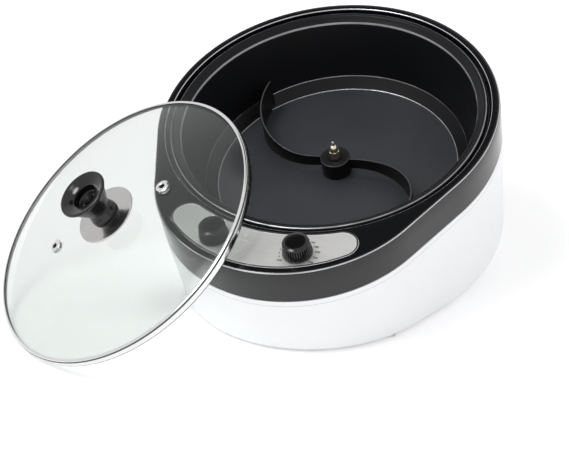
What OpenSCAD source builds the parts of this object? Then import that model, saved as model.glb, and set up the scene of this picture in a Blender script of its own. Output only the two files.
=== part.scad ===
// Countertop drum roaster with a stirring blade and a loose domed glass lid.
// Drum, pan, ring, blade and knobs share one axis, which leans towards the front (-Y).
// The table is Z = 0. The origin is on the table, below the centre of the ring's top plane.

/* [Stance] */
// lean of the drum axis towards the front, in degrees
drum_lean = 17; // [12:1:20]
// height of the ring's top plane over the table, on the drum axis
ring_height = 145; // [140:1:165]
// height of the rubber feet
foot_h = 3; // [2:0.5:5]

/* [Ring] */
// radius of the ring's round rear part
ring_rear_r = 145; // [142:0.5:148]
// radius of the ring's nose
ring_nose_r = 120; // [116:1:124]
// distance from the drum axis forward to the centre of the nose
nose_offset = 66; // [62:1:72]
// height of the dark band round the ring
band_h = 33; // [26:1:38]
// radius of the round opening in the ring
ring_hole_r = 137.7; // [137:0.1:138.5]

/* [Body] */
// length of the drum wall below the band, along the drum axis
wall_len = 98; // [90:1:104]
// how much the drum wall closes in per mm of depth
wall_draft = 0.06; // [0.02:0.01:0.1]
// wall thickness of the body
shell_t = 2.5; // [2:0.1:3.5]
// radius of the plinth's rear end
plinth_r = 92; // [84:1:98]

/* [Pan] */
// radius of the pan at its opening edge
pan_r = 125; // [124:0.5:125.5]
// depth of the flat pan floor under the opening edge
pan_depth = 59; // [52:1:62]
// sheet thickness of the pan
pan_t = 1.4; // [1:0.1:2]

/* [Stirrer] */
// height of the blade at the hub
blade_root_h = 14; // [10:0.5:14]
// height of the blade at its tips
blade_tip_h = 29; // [22:1:31]
// thickness of the blade
blade_t = 1.8; // [1.2:0.1:3]
// radius of the bend in each arm
blade_bend_r = 58; // [50:1:59]
// radius of the hub
hub_r = 12.5; // [11:0.5:15]

/* [Knobs] */
// radius of a knob at its foot
knob_r = 12.5; // [11:0.5:14]
// height of a knob over the panel
knob_h = 13; // [10:0.5:16]
// number of finger flutes round a knob
knob_flutes = 24; // [16:2:30]
// sideways distance from the middle to each knob
knob_x = 36; // [32:1:40]
// forward distance from the drum axis to the knobs
knob_y = 157; // [155:0.5:159]

/* [Lid] */
// outer radius of the lid's steel rim
lid_r = 126.8; // [125.5:0.1:127.5]
// height of the glass dome over the rim
lid_dome_h = 21.5; // [16:0.5:26]
// thickness of the glass
glass_t = 4; // [3:0.5:5]
// angle between the leaning lid and the table, in degrees
lid_tilt = 37.75; // [37.75:0.05:38.5]
// radius of the lid knob's top
lid_knob_r = 22; // [18:0.5:24]
// height of the lid knob
lid_knob_h = 28; // [22:1:32]
// distance of each steam vent from the middle of the lid
vent_r = 55; // [45:1:80]

/* [Part to show] */
// which piece is shown

/* [Hidden] */

$fn = 96;
eps = 0.01;
fit = 0.3;          // gap between neighbouring pieces
run = 0.05;         // radial clearance of a running fit
side_inset = 0.03;  // the flat sides start this far inside the two circles

// body colours
white = [0.93, 0.93, 0.95];
jet = [0.07, 0.07, 0.08];
coal = [0.17, 0.17, 0.18];
satin = [0.78, 0.78, 0.78];
steel = [0.72, 0.73, 0.74];
brass = [0.83, 0.68, 0.40];
zinc = [0.60, 0.61, 0.63];
red = [0.62, 0.15, 0.12];
clear = [0.72, 0.80, 0.76, 0.35];

// ring section, measured down from the ring's top plane
deck_t = 3;
wall_t = 3;
edge_soft = 0.9;     // height of each of the two edge bevel steps
edge_mid = 0.5;      // how far in the first step goes
edge_in = 1.6;       // how far in the second step goes
seat_z = -7;         // ledge that carries the pan's flange
seat_t = 2.5;
seat_r = 127.5;
ring_tube_t = 2;
ring_tube_z = -16;
band_draft = 0.02;

// panel
panel_t = 1.2;
panel_inner_r = 141;
panel_outer_r = 114;
panel_end_r = 14.3;

// pan section, measured from the ring's top plane
lip_z = -6;
bead_r = 132;
floor_z = lip_z - pan_depth;
floor_r = 104;
wall_foot_r = 114;
wall_foot_z = lip_z - 51;
pan_under_z = floor_z - pan_t;
bush_r = 8;

// shaft and hub
shaft_r = 4;
thread_r = 2.5;
square_w = 5.6;
bush_flange_t = 1.1;
hub_z = floor_z + bush_flange_t + fit;
hub_h = 14.4;
hub_top_z = hub_z + hub_h;
arm_lead = 9.4;      // the arms leave the hub turned this far back, in degrees
arm_run = 20;        // straight run of each arm, from the hub's middle
arm_bend = 106;      // how far each arm bends, in degrees
arm_tip = 4;         // straight end of each arm
arm_steps = 32;
arm_rise = 6;        // the step of the bend at which the top edge starts to climb
blade_z = floor_z + 0.9;
blade_clear = 1.5;   // gap between the blade's lower corner and the pan's rounded foot
washer_t = 1.2;
nut_z = hub_top_z + washer_t;
nut_r = 4.8;
nut_h = 15.8;

// heater
coil_r = 86;
rod_r = 3.8;
sleeve_r = 4.9;
coil_z = pan_under_z - rod_r - 0.35;
shield_z = -83;
shield_t = 0.8;
shield_rim_r = 131;
shield_foot_r = 122;
shield_rim_z = ring_tube_z - 1.6;
post_at = [30, 150, 210, 330];
post_r = 134.4;
coil_gap = 22;       // half the angle left open between the coil's ends

// drive
bracket_z = -90;
bracket_t = 1.6;
bracket_w = 34;
bracket_len = 156;
gearbox_r = 31;
gearbox_h = 17;
motor_r = 26;
motor_h = 20;
motor_shift = 5;

// body
lug_x = 74;
lug_y = 134;
lug_z = -35;
lug_t = 3;
shell_gap = 0.4;
shell_z = -band_h - shell_gap;
shell_in = 0.6;
register_h = 7;
register_t = 1.6;
register_in = wall_t + band_draft * (band_h + 1) + fit;
drum_foot_z = shell_z - wall_len;
plinth_y = 14;
plinth_nose_r = 78;
plinth_nose_y = -42;
plinth_h = 60;
cover_t = 2;
cover_z = foot_h + cover_t;
boss_r = 4.5;
boss_h = 26;
gland_z = -112;
screw_r = 1.6;
head_r = 3.2;

// controls
neck_r = 5;
spindle_r = 3;
unit_gap = 0.2;
timer_side = -1;     // the timer is on the left, the thermostat on the right
timer_r = 16.5;
timer_h = 24;
thermo_w = 26;
thermo_d = 22;
thermo_h = 17;
neck_nut_r = 7.6;
neck_nut_h = 2.6;
knob_gap = 0.5;
hollow_h = 4.2;      // depth of the hollow under a knob
knob_top_r = knob_r - 1.65;

// lid, measured from the rim's lower plane
lid_turn = -126.4;
lid_foot = [-185.6, -214.9];   // where the rim stands on the table
lid_back = lid_r * cos(lid_tilt);
lid_at = [lid_foot.x - lid_back * cos(lid_turn), lid_foot.y - lid_back * sin(lid_turn),
    lid_r * sin(lid_tilt) - 0.3];
rim_h = 6;
rim_t = 0.8;
glass_r = lid_r - rim_t - 0.1;
glass_edge_z = 2.2;
ball_r = (glass_r * glass_r + lid_dome_h * lid_dome_h) / (2 * lid_dome_h);
ball_z = glass_edge_z + lid_dome_h + glass_t - ball_r;
washer_drop = 1.35;
plate_r = 27;
plate_t = 1.4;
vent_a = [150, -30];
knob_seat_z = ball_z + ball_r + plate_t + 0.05;

foot_at = [[-58, -98], [58, -98], [-44, 70], [44, 70]];
boss_at = [[-93, -92], [93, -92], [-61, 75], [61, 75]];

// ---------------------------------------------------------------- helpers

// stands its children on the leaning drum axis, Z = 0 at the ring's top plane
module drum_frame() {
    translate([0, 0, ring_height])
        rotate([drum_lean, 0, 0])
            children();
}

// stands its children on the loose lid, Z = 0 at the rim's lower plane
module lid_frame() {
    translate(lid_at)
        rotate([0, 0, lid_turn])
            rotate([0, lid_tilt, 0])
                children();
}

// egg-shaped block: two cones joined by flat sides; slope closes it in towards z0
module egg(rear_r, nose_r, z0, z1, slope = 0, gap = nose_offset) {
    h = z1 - z0;
    lower_rear = rear_r - slope * h;
    lower_nose = nose_r - slope * h;
    c = (rear_r - nose_r) / gap;
    s = sqrt(1 - c * c);
    function side(r, y, z, k) = [k * (r - side_inset) * s, y - (r - side_inset) * c, z];
    translate([0, 0, z0])
        cylinder(h = h, r1 = lower_rear, r2 = rear_r, $fn = 180);
    translate([0, -gap, z0])
        cylinder(h = h, r1 = lower_nose, r2 = nose_r, $fn = 180);
    polyhedron(
        points = [
            side(lower_rear, 0, z0, -1), side(lower_nose, -gap, z0, -1),
            side(lower_nose, -gap, z0, 1), side(lower_rear, 0, z0, 1),
            side(rear_r, 0, z1, -1), side(nose_r, -gap, z1, -1),
            side(nose_r, -gap, z1, 1), side(rear_r, 0, z1, 1)],
        faces = [[3, 2, 1, 0], [4, 5, 6, 7], [0, 1, 5, 4],
            [1, 2, 6, 5], [2, 3, 7, 6], [3, 0, 4, 7]]);
}

// a tube wall, a washer or a bushing
module tube(outer, inner, h) {
    difference() {
        cylinder(h = h, r = outer);
        translate([0, 0, -1])
            cylinder(h = h + 2, r = inner);
    }
}

// hexagonal prism for nuts
module hex(r, h) {
    cylinder(h = h, r = r, $fn = 6);
}

// a pan-head screw, head up, its shank running down from Z = 0
module screw(len) {
    difference() {
        union() {
            cylinder(h = 1.8, r1 = head_r, r2 = head_r - 0.7);
            translate([0, 0, -len])
                cylinder(h = len + eps, r = screw_r);
        }
        for (a = [0, 90])
            rotate([0, 0, a])
                translate([-1.9, -0.4, 0.9])
                    cube([3.8, 0.8, 2]);
    }
}

// the same outline on the deck, the panel and their recess
module panel_shape(grow, h) {
    inner = panel_inner_r - grow;
    outer = panel_outer_r + grow;
    end_from_axis = panel_inner_r + panel_end_r;
    end_from_nose = panel_outer_r - panel_end_r;
    ey = (end_from_axis * end_from_axis - end_from_nose * end_from_nose
        + nose_offset * nose_offset) / (2 * nose_offset);
    ex = sqrt(end_from_axis * end_from_axis - ey * ey);
    inner_k = inner / end_from_axis * 0.985;
    outer_k = outer / end_from_nose * 1.03;
    linear_extrude(height = h) {
        intersection() {
            difference() {
                translate([0, -nose_offset])
                    circle(r = outer, $fn = 180);
                circle(r = inner, $fn = 180);
            }
            polygon([[-ex * inner_k, -ey * inner_k], [-ex, -ey],
                [-ex * outer_k, -nose_offset - (ey - nose_offset) * outer_k],
                [-ex, -2 * ring_rear_r], [ex, -2 * ring_rear_r],
                [ex * outer_k, -nose_offset - (ey - nose_offset) * outer_k],
                [ex, -ey], [ex * inner_k, -ey * inner_k]]);
        }
        for (k = [-1, 1])
            translate([k * ex, -ey])
                circle(r = panel_end_r + grow + side_inset, $fn = 96);
    }
}

// ---------------------------------------------------------------- body

module drum_outer() {
    drum_frame()
        egg(ring_rear_r - shell_in, ring_nose_r - shell_in, drum_foot_z, shell_z, wall_draft);
}

module drum_inner(extra = 0) {
    drum_frame()
        egg(ring_rear_r - shell_in - shell_t - extra, ring_nose_r - shell_in - shell_t - extra,
            drum_foot_z + shell_t + extra, shell_z + 20, wall_draft * 0.98);
}

// the plinth, cut off `up` above the drum's foot plane
module plinth(inset, up) {
    intersection() {
        translate([0, plinth_y, 0])
            egg(plinth_r - inset, plinth_nose_r - inset, -5, plinth_h, -0.04, plinth_y - plinth_nose_y);
        drum_frame()
            translate([0, 0, drum_foot_z - 180 + up])
                cylinder(h = 180, r = 400);
    }
}

module above(z) {
    translate([-300, -300, z])
        cube([600, 600, 400]);
}

module body_shell() color(white) {
    difference() {
        union() {
            difference() {
                intersection() {
                    union() {
                        drum_outer();
                        plinth(0, shell_t / 2);
                    }
                    above(foot_h);
                }
                drum_inner();
                plinth(shell_t, 3 * shell_t);
            }
            // rim that locates the ring inside its band
            drum_frame()
                difference() {
                    egg(ring_rear_r - register_in, ring_nose_r - register_in,
                        shell_z - 3, shell_z + register_h);
                    egg(ring_rear_r - register_in - register_t, ring_nose_r - register_in - register_t,
                        shell_z - 4, shell_z + register_h + 1);
                }
            // lugs for the screws that hold the ring down
            drum_frame()
                intersection() {
                    egg(ring_rear_r - register_in - 0.3, ring_nose_r - register_in - 0.3,
                        lug_z, lug_z + lug_t);
                    for (k = [-1, 1])
                        translate([k * lug_x, -lug_y, lug_z - 1])
                            rotate([0, 0, k * 42])
                                translate([-6, -40, 0])
                                    cube([12, 46, 10]);
                }
            // bosses for the base screws, standing against the walls
            intersection() {
                union() {
                    drum_outer();
                    plinth(0, shell_t / 2);
                }
                for (p = boss_at)
                    translate([p.x, p.y, cover_z + fit])
                        cylinder(h = boss_h, r = boss_r);
            }
        }
        for (p = boss_at)
            translate([p.x, p.y, 0])
                cylinder(h = cover_z + 16, r = screw_r + 0.02);
        drum_frame() {
            for (k = [-1, 1])
                translate([k * lug_x, -lug_y, lug_z - 1])
                    cylinder(h = 10, r = screw_r + 0.2);
            // hole for the cord gland in the rear wall
            translate([0, ring_rear_r - 20, gland_z])
                rotate([-90, 0, 0])
                    cylinder(h = 40, r = 7.5);
        }
    }
}

module base_cover() color(coal) {
    difference() {
        intersection() {
            union() {
                drum_inner(fit);
                plinth(shell_t + fit, 3 * shell_t);
            }
            translate([-300, -300, foot_h])
                cube([600, 600, cover_t]);
        }
        for (p = boss_at)
            translate([p.x, p.y, 0])
                cylinder(h = 20, r = screw_r + 0.3);
        for (p = foot_at)
            translate([p.x, p.y, 0])
                cylinder(h = 20, r = 3);
        // cooling slots
        for (k = [-4:4])
            translate([k * 10 - 2, -40, 0])
                cube([4, 50, 20]);
    }
}

module feet() color(jet) {
    for (p = foot_at)
        translate([p.x, p.y, 0])
            rotate_extrude($fn = 48)
                polygon([[0, 0], [8, 0], [9, 1], [9, foot_h], [2.9, foot_h], [2.9, cover_z],
                    [4, cover_z + 0.2], [2.2, cover_z + 2.6], [0, cover_z + 2.6]]);
}

module base_screws() color(zinc) {
    for (p = boss_at)
        translate([p.x, p.y, foot_h])
            rotate([180, 0, 0])
                screw(cover_t + 12);
}

module cord_gland() color(jet) {
    drum_frame()
        translate([0, ring_rear_r - shell_in - shell_t - 4.8, gland_z])
            rotate([-90, 0, 0])
                rotate_extrude($fn = 48)
                    polygon([[3.5, -3.6], [10, -3.6], [10, -2.2], [7.4, -2], [7.4, 3.5],
                        [9.5, 3.5], [9, 5.4], [6, 11], [3.5, 11]]);
}

// ---------------------------------------------------------------- ring

module top_ring() color(jet) {
    drum_frame() {
        difference() {
            union() {
                difference() {
                    union() {
                        egg(ring_rear_r, ring_nose_r, -band_h, -2 * edge_soft, band_draft);
                        egg(ring_rear_r - edge_mid, ring_nose_r - edge_mid, -2 * edge_soft,
                            -edge_soft, -edge_mid / edge_soft);
                        egg(ring_rear_r - edge_in, ring_nose_r - edge_in, -edge_soft, 0,
                            (edge_mid - edge_in) / edge_soft);
                    }
                    // hollow under the deck, round the tube that takes the pan
                    difference() {
                        egg(ring_rear_r - wall_t, ring_nose_r - wall_t, -band_h - 1, -deck_t,
                            band_draft);
                        translate([0, 0, ring_tube_z])
                            cylinder(h = 40, r = ring_hole_r + ring_tube_t, $fn = 180);
                        for (k = [-1, 1])
                            translate([k * lug_x, -lug_y, lug_z + lug_t + 0.2])
                                cylinder(h = 40, r = 5);
                    }
                    translate([0, 0, seat_z])
                        cylinder(h = 20, r = ring_hole_r, $fn = 180);
                    translate([0, 0, -60])
                        cylinder(h = 80, r = seat_r, $fn = 180);
                    translate([0, 0, -60])
                        cylinder(h = 60 + seat_z - seat_t, r = ring_hole_r, $fn = 180);
                }
                // posts for the heat shield
                for (a = post_at)
                    rotate([0, 0, a])
                        translate([post_r, 0, ring_tube_z])
                            cylinder(h = seat_z - ring_tube_z - 1, r = 4);
            }
            translate([0, 0, -panel_t])
                panel_shape(0.15, 5);
            for (k = [-1, 1]) {
                translate([k * knob_x, -knob_y, -20])
                    cylinder(h = 40, r = neck_r + 0.2);
                translate([k * lug_x, -lug_y, lug_z])
                    cylinder(h = 24, r = screw_r + 0.02);
            }
            for (a = post_at)
                rotate([0, 0, a])
                    translate([post_r, 0, ring_tube_z - 1])
                        cylinder(h = 8, r = screw_r + 0.02);
        }
    }
}

module control_panel() color(satin) {
    drum_frame()
        difference() {
            translate([0, 0, -panel_t])
                panel_shape(0, panel_t);
            for (k = [-1, 1])
                translate([k * knob_x, -knob_y, -10])
                    cylinder(h = 20, r = neck_r + 0.2);
        }
}

// ---------------------------------------------------------------- pan

module roasting_pan() color(coal) {
    drum_frame()
        rotate_extrude($fn = 180)
            polygon(concat(
                [[bush_r + run, floor_z], [floor_r - 1, floor_z]],
                [for (a = [0:15:75])
                    [floor_r - 1 + (wall_foot_r - floor_r + 0.6) * sin(a),
                        floor_z + (wall_foot_z - floor_z) * (1 - cos(a))]],
                [[wall_foot_r, wall_foot_z], [pan_r - 0.6, lip_z - 1.6], [pan_r, lip_z],
                    [pan_r + 2, lip_z + 1.6], [bead_r - 2.5, lip_z + 3.8], [bead_r - 0.8, lip_z + 5],
                    [bead_r + 0.8, lip_z + 5], [bead_r + 2.2, lip_z + 4], [bead_r + 2.8, lip_z + 2.4],
                    [bead_r + 2.8, seat_z + 1.3], [bead_r + 1.4, seat_z + 1.3],
                    [bead_r + 1.4, lip_z + 2], [bead_r, lip_z + 3.4], [bead_r - 2, lip_z + 2.4],
                    [pan_r + 2.6, lip_z], [pan_r + 1.5, lip_z - 2], [wall_foot_r + pan_t, wall_foot_z]],
                [for (a = [75:-15:0])
                    [floor_r - 1 + (wall_foot_r - floor_r + 0.6 + pan_t) * sin(a),
                        pan_under_z + (wall_foot_z - pan_under_z) * (1 - cos(a))]],
                [[bush_r + run, pan_under_z]]));
}

module pan_seal() color([0.25, 0.25, 0.26]) {
    drum_frame()
        translate([0, 0, seat_z])
            rotate_extrude($fn = 180)
                polygon([[bead_r - 2.6, 0], [bead_r + 3.4, 0], [bead_r + 3.4, 1.2],
                    [bead_r - 2.6, 1.2]]);
}

// ---------------------------------------------------------------- stirrer

// a point on one arm's centre line: straight out of the hub, round the bend, then straight
function arm_point(i) =
    let (a = arm_turn(i),
        bend_centre = arm_run * [cos(arm_lead), sin(arm_lead)]
            + blade_bend_r * [sin(arm_lead), -cos(arm_lead)])
    i == 0 ? [0, 0] :
    i <= arm_steps + 1 ? bend_centre + blade_bend_r * arm_across(i) :
        arm_point(arm_steps + 1) + arm_tip * [cos(a), -sin(a)];

// how far the arm's direction has turned towards the front at that point
function arm_turn(i) = (i == 0 ? 0 : min(i - 1, arm_steps) * arm_bend / arm_steps) - arm_lead;

// the direction across the arm at that point
function arm_across(i) = [sin(arm_turn(i)), cos(arm_turn(i))];

module blade_arm() {
    half = blade_t / 2;
    last = arm_steps + 2;
    rise_from = arm_point(arm_rise);
    rise_run = arm_point(last) - rise_from;
    top_z = blade_z + blade_root_h;
    difference() {
        translate([0, 0, blade_z])
            linear_extrude(height = blade_tip_h)
                polygon(concat(
                    [for (i = [0:last]) arm_point(i) + half * arm_across(i)],
                    [for (i = [last:-1:0]) arm_point(i) - half * arm_across(i)]));
        // sloping top edge, low at the hub
        translate([rise_from.x, rise_from.y, top_z])
            rotate([0, 0, atan2(rise_run.y, rise_run.x)])
                rotate([0, -atan2(blade_tip_h - blade_root_h, norm(rise_run)), 0])
                    translate([-2, -200, 0])
                        cube([400, 400, 60]);
        translate([-60, -100, top_z])
            cube([60 + rise_from.x, 200, 60]);
        // lower corner, kept clear of the pan's rounded foot
        rotate_extrude($fn = 180)
            polygon([[floor_r - blade_clear, blade_z - 1], [floor_r + 4 - blade_clear, floor_z + 2.5],
                [wall_foot_r - 1.5 - blade_clear, wall_foot_z], [wall_foot_r + 40, wall_foot_z],
                [wall_foot_r + 40, blade_z - 1]]);
    }
}

module stirrer() color(coal) {
    drum_frame()
        difference() {
            union() {
                rotate_extrude($fn = 96)
                    polygon([[0, hub_z], [hub_r - 0.4, hub_z], [hub_r, hub_z + 0.4],
                        [hub_r - 0.6, hub_top_z - 2], [hub_r - 1.2, hub_top_z - 0.7],
                        [hub_r - 2.4, hub_top_z], [0, hub_top_z]]);
                for (k = [0, 180])
                    rotate([0, 0, k])
                        blade_arm();
            }
            // the arms stay clear of the bush under the hub
            translate([0, 0, blade_z - 1])
                cylinder(h = hub_z - blade_z + 1, r = hub_r - 0.1);
            translate([0, 0, hub_z - 1])
                cylinder(h = hub_h - 4, r = shaft_r + 0.6);
            translate([-square_w / 2 - run, -square_w / 2 - run, hub_z + 2])
                cube([square_w + 2 * run, square_w + 2 * run, hub_h + 1]);
        }
}

module nut_washer() color(brass) {
    drum_frame()
        translate([0, 0, hub_top_z])
            tube(nut_r + 1.2, thread_r + 0.1, washer_t);
}

module hub_nut() color(brass) {
    drum_frame()
        translate([0, 0, nut_z])
            difference() {
                union() {
                    hex(nut_r, 6);
                    translate([0, 0, 6 - eps])
                        rotate_extrude($fn = 48)
                            polygon(concat([[0, 0], [4.1, 0]],
                                [for (a = [0:10:80]) [4.1 * cos(a), 0.6 + 5.6 * sin(a)]],
                                [[1.4, 6.4], [1.4, nut_h - 7.2], [0.9, nut_h - 6.2], [0, nut_h - 6]]));
                }
                translate([0, 0, -1])
                    cylinder(h = 9, r = thread_r + 0.02);
            }
}

module drive_shaft() color(steel) {
    drum_frame() {
        translate([0, 0, bracket_z - bracket_t - gearbox_h + 3])
            cylinder(h = hub_z + 4 - (bracket_z - bracket_t - gearbox_h + 3), r = shaft_r);
        translate([-square_w / 2, -square_w / 2, hub_z + 3.9])
            cube([square_w, square_w, hub_top_z - hub_z - 4.1]);
        translate([0, 0, hub_top_z - 0.5])
            cylinder(h = washer_t + 7.5, r = thread_r);
    }
}

module shaft_bush() color(brass) {
    drum_frame()
        difference() {
            union() {
                translate([0, 0, floor_z])
                    cylinder(h = bush_flange_t, r = hub_r - 0.5);
                translate([0, 0, pan_under_z - 8])
                    cylinder(h = pan_t + 8.1, r = bush_r);
            }
            translate([0, 0, pan_under_z - 20])
                cylinder(h = 60, r = shaft_r + run);
        }
}

module bush_nut() color(zinc) {
    drum_frame()
        translate([0, 0, pan_under_z - 4])
            difference() {
                hex(13.5, 4);
                translate([0, 0, -1])
                    cylinder(h = 6, r = bush_r + 0.02);
            }
}

// ---------------------------------------------------------------- heater

module heating_element() color([0.35, 0.33, 0.32]) {
    drum_frame() {
        translate([0, 0, coil_z])
            rotate([0, 0, 90 + coil_gap])
                rotate_extrude(angle = 360 - 2 * coil_gap, $fn = 120)
                    translate([coil_r, 0])
                        circle(r = rod_r, $fn = 32);
        // terminal sleeves and pins
        for (k = [-1, 1])
            rotate([0, 0, 90 + k * coil_gap])
                translate([coil_r, 0, 0]) {
                    translate([0, 0, shield_z - 10])
                        cylinder(h = coil_z + rod_r + 0.25 - shield_z + 10, r = sleeve_r, $fn = 48);
                    translate([0, 0, shield_z - 18])
                        cylinder(h = 9, r = 1.6, $fn = 24);
                }
    }
}

module element_supports() color([0.88, 0.86, 0.80]) {
    drum_frame()
        for (a = [200, 270, 340])
            rotate([0, 0, a])
                difference() {
                    translate([coil_r - 7, -5, shield_z + shield_t])
                        cube([14, 10, coil_z - shield_z - shield_t - 0.6]);
                    translate([0, 0, coil_z])
                        rotate([0, 0, -8])
                            rotate_extrude(angle = 16, $fn = 120)
                                translate([coil_r, 0])
                                    circle(r = rod_r + 0.05, $fn = 32);
                }
}

module heat_shield() color(satin) {
    drum_frame()
        difference() {
            rotate_extrude($fn = 180)
                polygon([[16, shield_z], [shield_foot_r - 6, shield_z], [shield_foot_r - 1, shield_z + 3],
                    [shield_rim_r, shield_rim_z], [ring_hole_r + 1.6, shield_rim_z],
                    [ring_hole_r + 1.6, shield_rim_z + shield_t + 0.8], [shield_rim_r - 0.8, shield_rim_z + shield_t + 0.8],
                    [shield_foot_r - 1.8, shield_z + 3.6], [shield_foot_r - 6.4, shield_z + shield_t],
                    [16, shield_z + shield_t]]);
            for (k = [-1, 1])
                rotate([0, 0, 90 + k * coil_gap])
                    translate([coil_r, 0, shield_z - 5])
                        cylinder(h = 10, r = sleeve_r + 0.6);
            for (a = post_at)
                rotate([0, 0, a])
                    translate([post_r, 0, -40])
                        cylinder(h = 40, r = screw_r + 0.2);
            for (k = [-1, 1])
                translate([k * (bracket_len / 2 - 7), 0, shield_z - 5])
                    cylinder(h = 10, r = screw_r + 0.2);
        }
}

module shield_screws() color(zinc) {
    drum_frame()
        for (a = post_at)
            rotate([0, 0, a])
                translate([post_r, 0, shield_rim_z])
                    rotate([180, 0, 0])
                        screw(7);
}

// ---------------------------------------------------------------- drive

module motor_bracket() color(zinc) {
    foot_x = bracket_len / 2 - 16;
    low = bracket_z - bracket_t;
    drum_frame()
        difference() {
            union() {
                translate([-foot_x, -bracket_w / 2, low])
                    cube([2 * foot_x, bracket_w, bracket_t]);
                translate([0, 0, low])
                    cylinder(h = bracket_t, r = gearbox_r + 4);
                for (k = [0, 180])
                    rotate([0, 0, k]) {
                        translate([foot_x - eps, -bracket_w / 2, low])
                            cube([bracket_t, bracket_w, shield_z - low]);
                        translate([foot_x, -bracket_w / 2, shield_z - bracket_t])
                            cube([16, bracket_w, bracket_t]);
                    }
            }
            translate([0, 0, low - 1])
                cylinder(h = bracket_t + 2, r = 8);
            for (k = [-1, 1]) {
                translate([k * (bracket_len / 2 - 7), 0, shield_z - 10])
                    cylinder(h = 20, r = screw_r + 0.2);
                translate([k * (gearbox_r - 5), 0, low - 1])
                    cylinder(h = bracket_t + 2, r = screw_r + 0.2);
            }
        }
}

module bracket_screws() color(zinc) {
    drum_frame()
        for (k = [-1, 1])
            translate([k * (bracket_len / 2 - 7), 0, shield_z + shield_t])
                screw(5);
}

module gearbox() color(steel) {
    top = bracket_z - bracket_t;
    drum_frame()
        difference() {
            union() {
                translate([0, 0, top - gearbox_h])
                    cylinder(h = gearbox_h, r = gearbox_r);
                translate([0, 0, top - 0.5])
                    cylinder(h = 3, r = 7.5);
            }
            translate([0, 0, top - gearbox_h + 2.9])
                cylinder(h = gearbox_h + 4, r = shaft_r + run);
            for (k = [-1, 1])
                translate([k * (gearbox_r - 5), 0, top - 8])
                    cylinder(h = 9, r = screw_r + 0.02);
        }
}

module gearbox_screws() color(zinc) {
    drum_frame()
        for (k = [-1, 1])
            translate([k * (gearbox_r - 5), 0, bracket_z])
                screw(6);
}

module motor_can() color([0.50, 0.51, 0.53]) {
    top = bracket_z - bracket_t - gearbox_h;
    drum_frame()
        translate([0, -motor_shift, 0]) {
            translate([0, 0, top - motor_h])
                rotate_extrude()
                    polygon([[0, 0], [motor_r - 1.2, 0], [motor_r, 1.2], [motor_r, motor_h],
                        [0, motor_h]]);
            for (k = [-1, 1])
                translate([k * 5 - 2.4, -motor_r - 6, top - 5])
                    cube([4.8, 8, 0.8]);
        }
}

// ---------------------------------------------------------------- controls

module at_control(k) {
    drum_frame()
        translate([k * knob_x, -knob_y, 0])
            children();
}

module unit_neck() {
    translate([0, 0, -deck_t - unit_gap - 1])
        cylinder(h = deck_t + unit_gap + 1 + neck_nut_h + 0.4, r = neck_r);
}

module unit_bore() {
    translate([0, 0, -deck_t - 13])
        cylinder(h = 40, r = spindle_r + run);
}

module timer_unit() color([0.86, 0.84, 0.78]) {
    low = -deck_t - unit_gap - timer_h;
    at_control(timer_side)
        difference() {
            union() {
                unit_neck();
                translate([0, 0, low])
                    cylinder(h = timer_h, r = timer_r);
                for (k = [-1, 1])
                    translate([k * 6 - 2.4, -0.4, low - 7])
                        cube([4.8, 0.8, 7.5]);
            }
            unit_bore();
        }
}

module thermostat_unit() color([0.90, 0.88, 0.84]) {
    low = -deck_t - unit_gap - thermo_h;
    at_control(-timer_side)
        difference() {
            union() {
                unit_neck();
                translate([-thermo_w / 2, -thermo_d / 2, low])
                    cube([thermo_w, thermo_d, thermo_h]);
                for (k = [-1, 1])
                    translate([k * 7 - 2.4, -0.4, low - 7])
                        cube([4.8, 0.8, 7.5]);
            }
            unit_bore();
        }
}

// a turned spindle with a flat that drives the knob
module spindle() {
    difference() {
        translate([0, 0, -deck_t - 12.8])
            cylinder(h = deck_t + 12.8 + knob_h - 3, r = spindle_r);
        translate([spindle_r - 1, -5, knob_gap + hollow_h - 0.4])
            cube([4, 10, knob_h]);
    }
}

module timer_spindle() color(steel) {
    at_control(timer_side)
        spindle();
}

module thermostat_spindle() color(steel) {
    at_control(-timer_side)
        spindle();
}

// fluted knob; one flute is cut deeper as the index mark
module knob() {
    skirt_h = knob_h - 1.2;
    slope = atan2(knob_r - knob_top_r, skirt_h - knob_gap);
    difference() {
        union() {
            rotate_extrude()
                polygon([[0, knob_gap], [knob_r, knob_gap], [knob_top_r, skirt_h],
                    [knob_top_r - 0.4, skirt_h + 0.8], [knob_top_r - 1.2, knob_h], [0, knob_h]]);
        }
        for (i = [0:knob_flutes - 1])
            rotate([0, 0, i * 360 / knob_flutes])
                translate([0, -knob_r - 0.35, knob_gap - 1])
                    rotate([-slope, 0, 0])
                        cylinder(h = skirt_h - 1.4, r = i == 0 ? 1.3 : 0.95, $fn = 20);
        translate([0, 0, -1])
            cylinder(h = 1 + knob_gap + hollow_h, r = knob_r - 3.6);
        difference() {
            translate([0, 0, 2])
                cylinder(h = knob_h - 4.7, r = spindle_r + 0.02);
            translate([spindle_r - 0.98, -5, 0])
                cube([4, 10, knob_h]);
        }
    }
}

module timer_knob() color(jet) {
    at_control(timer_side)
        knob();
}

module thermostat_knob() color(jet) {
    at_control(-timer_side)
        knob();
}

module neck_nuts() color(zinc) {
    for (k = [-1, 1])
        at_control(k)
            difference() {
                hex(neck_nut_r, neck_nut_h);
                translate([0, 0, -1])
                    cylinder(h = neck_nut_h + 2, r = neck_r + 0.02);
            }
}

module ring_screws() color(zinc) {
    drum_frame()
        for (k = [-1, 1])
            translate([k * lug_x, -lug_y, lug_z])
                rotate([180, 0, 0])
                    screw(lug_t + 7);
}

module thermal_cutout() color(satin) {
    drum_frame()
        translate([38, -46, shield_z]) {
            translate([0, 0, -1])
                cylinder(h = 1, r = 8);
            translate([0, 0, -7])
                cylinder(h = 6 + eps, r = 6.5);
            for (k = [-1, 1])
                translate([k * 3.4 - 1.6, -0.4, -13])
                    cube([3.2, 0.8, 6.5]);
        }
}

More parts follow.
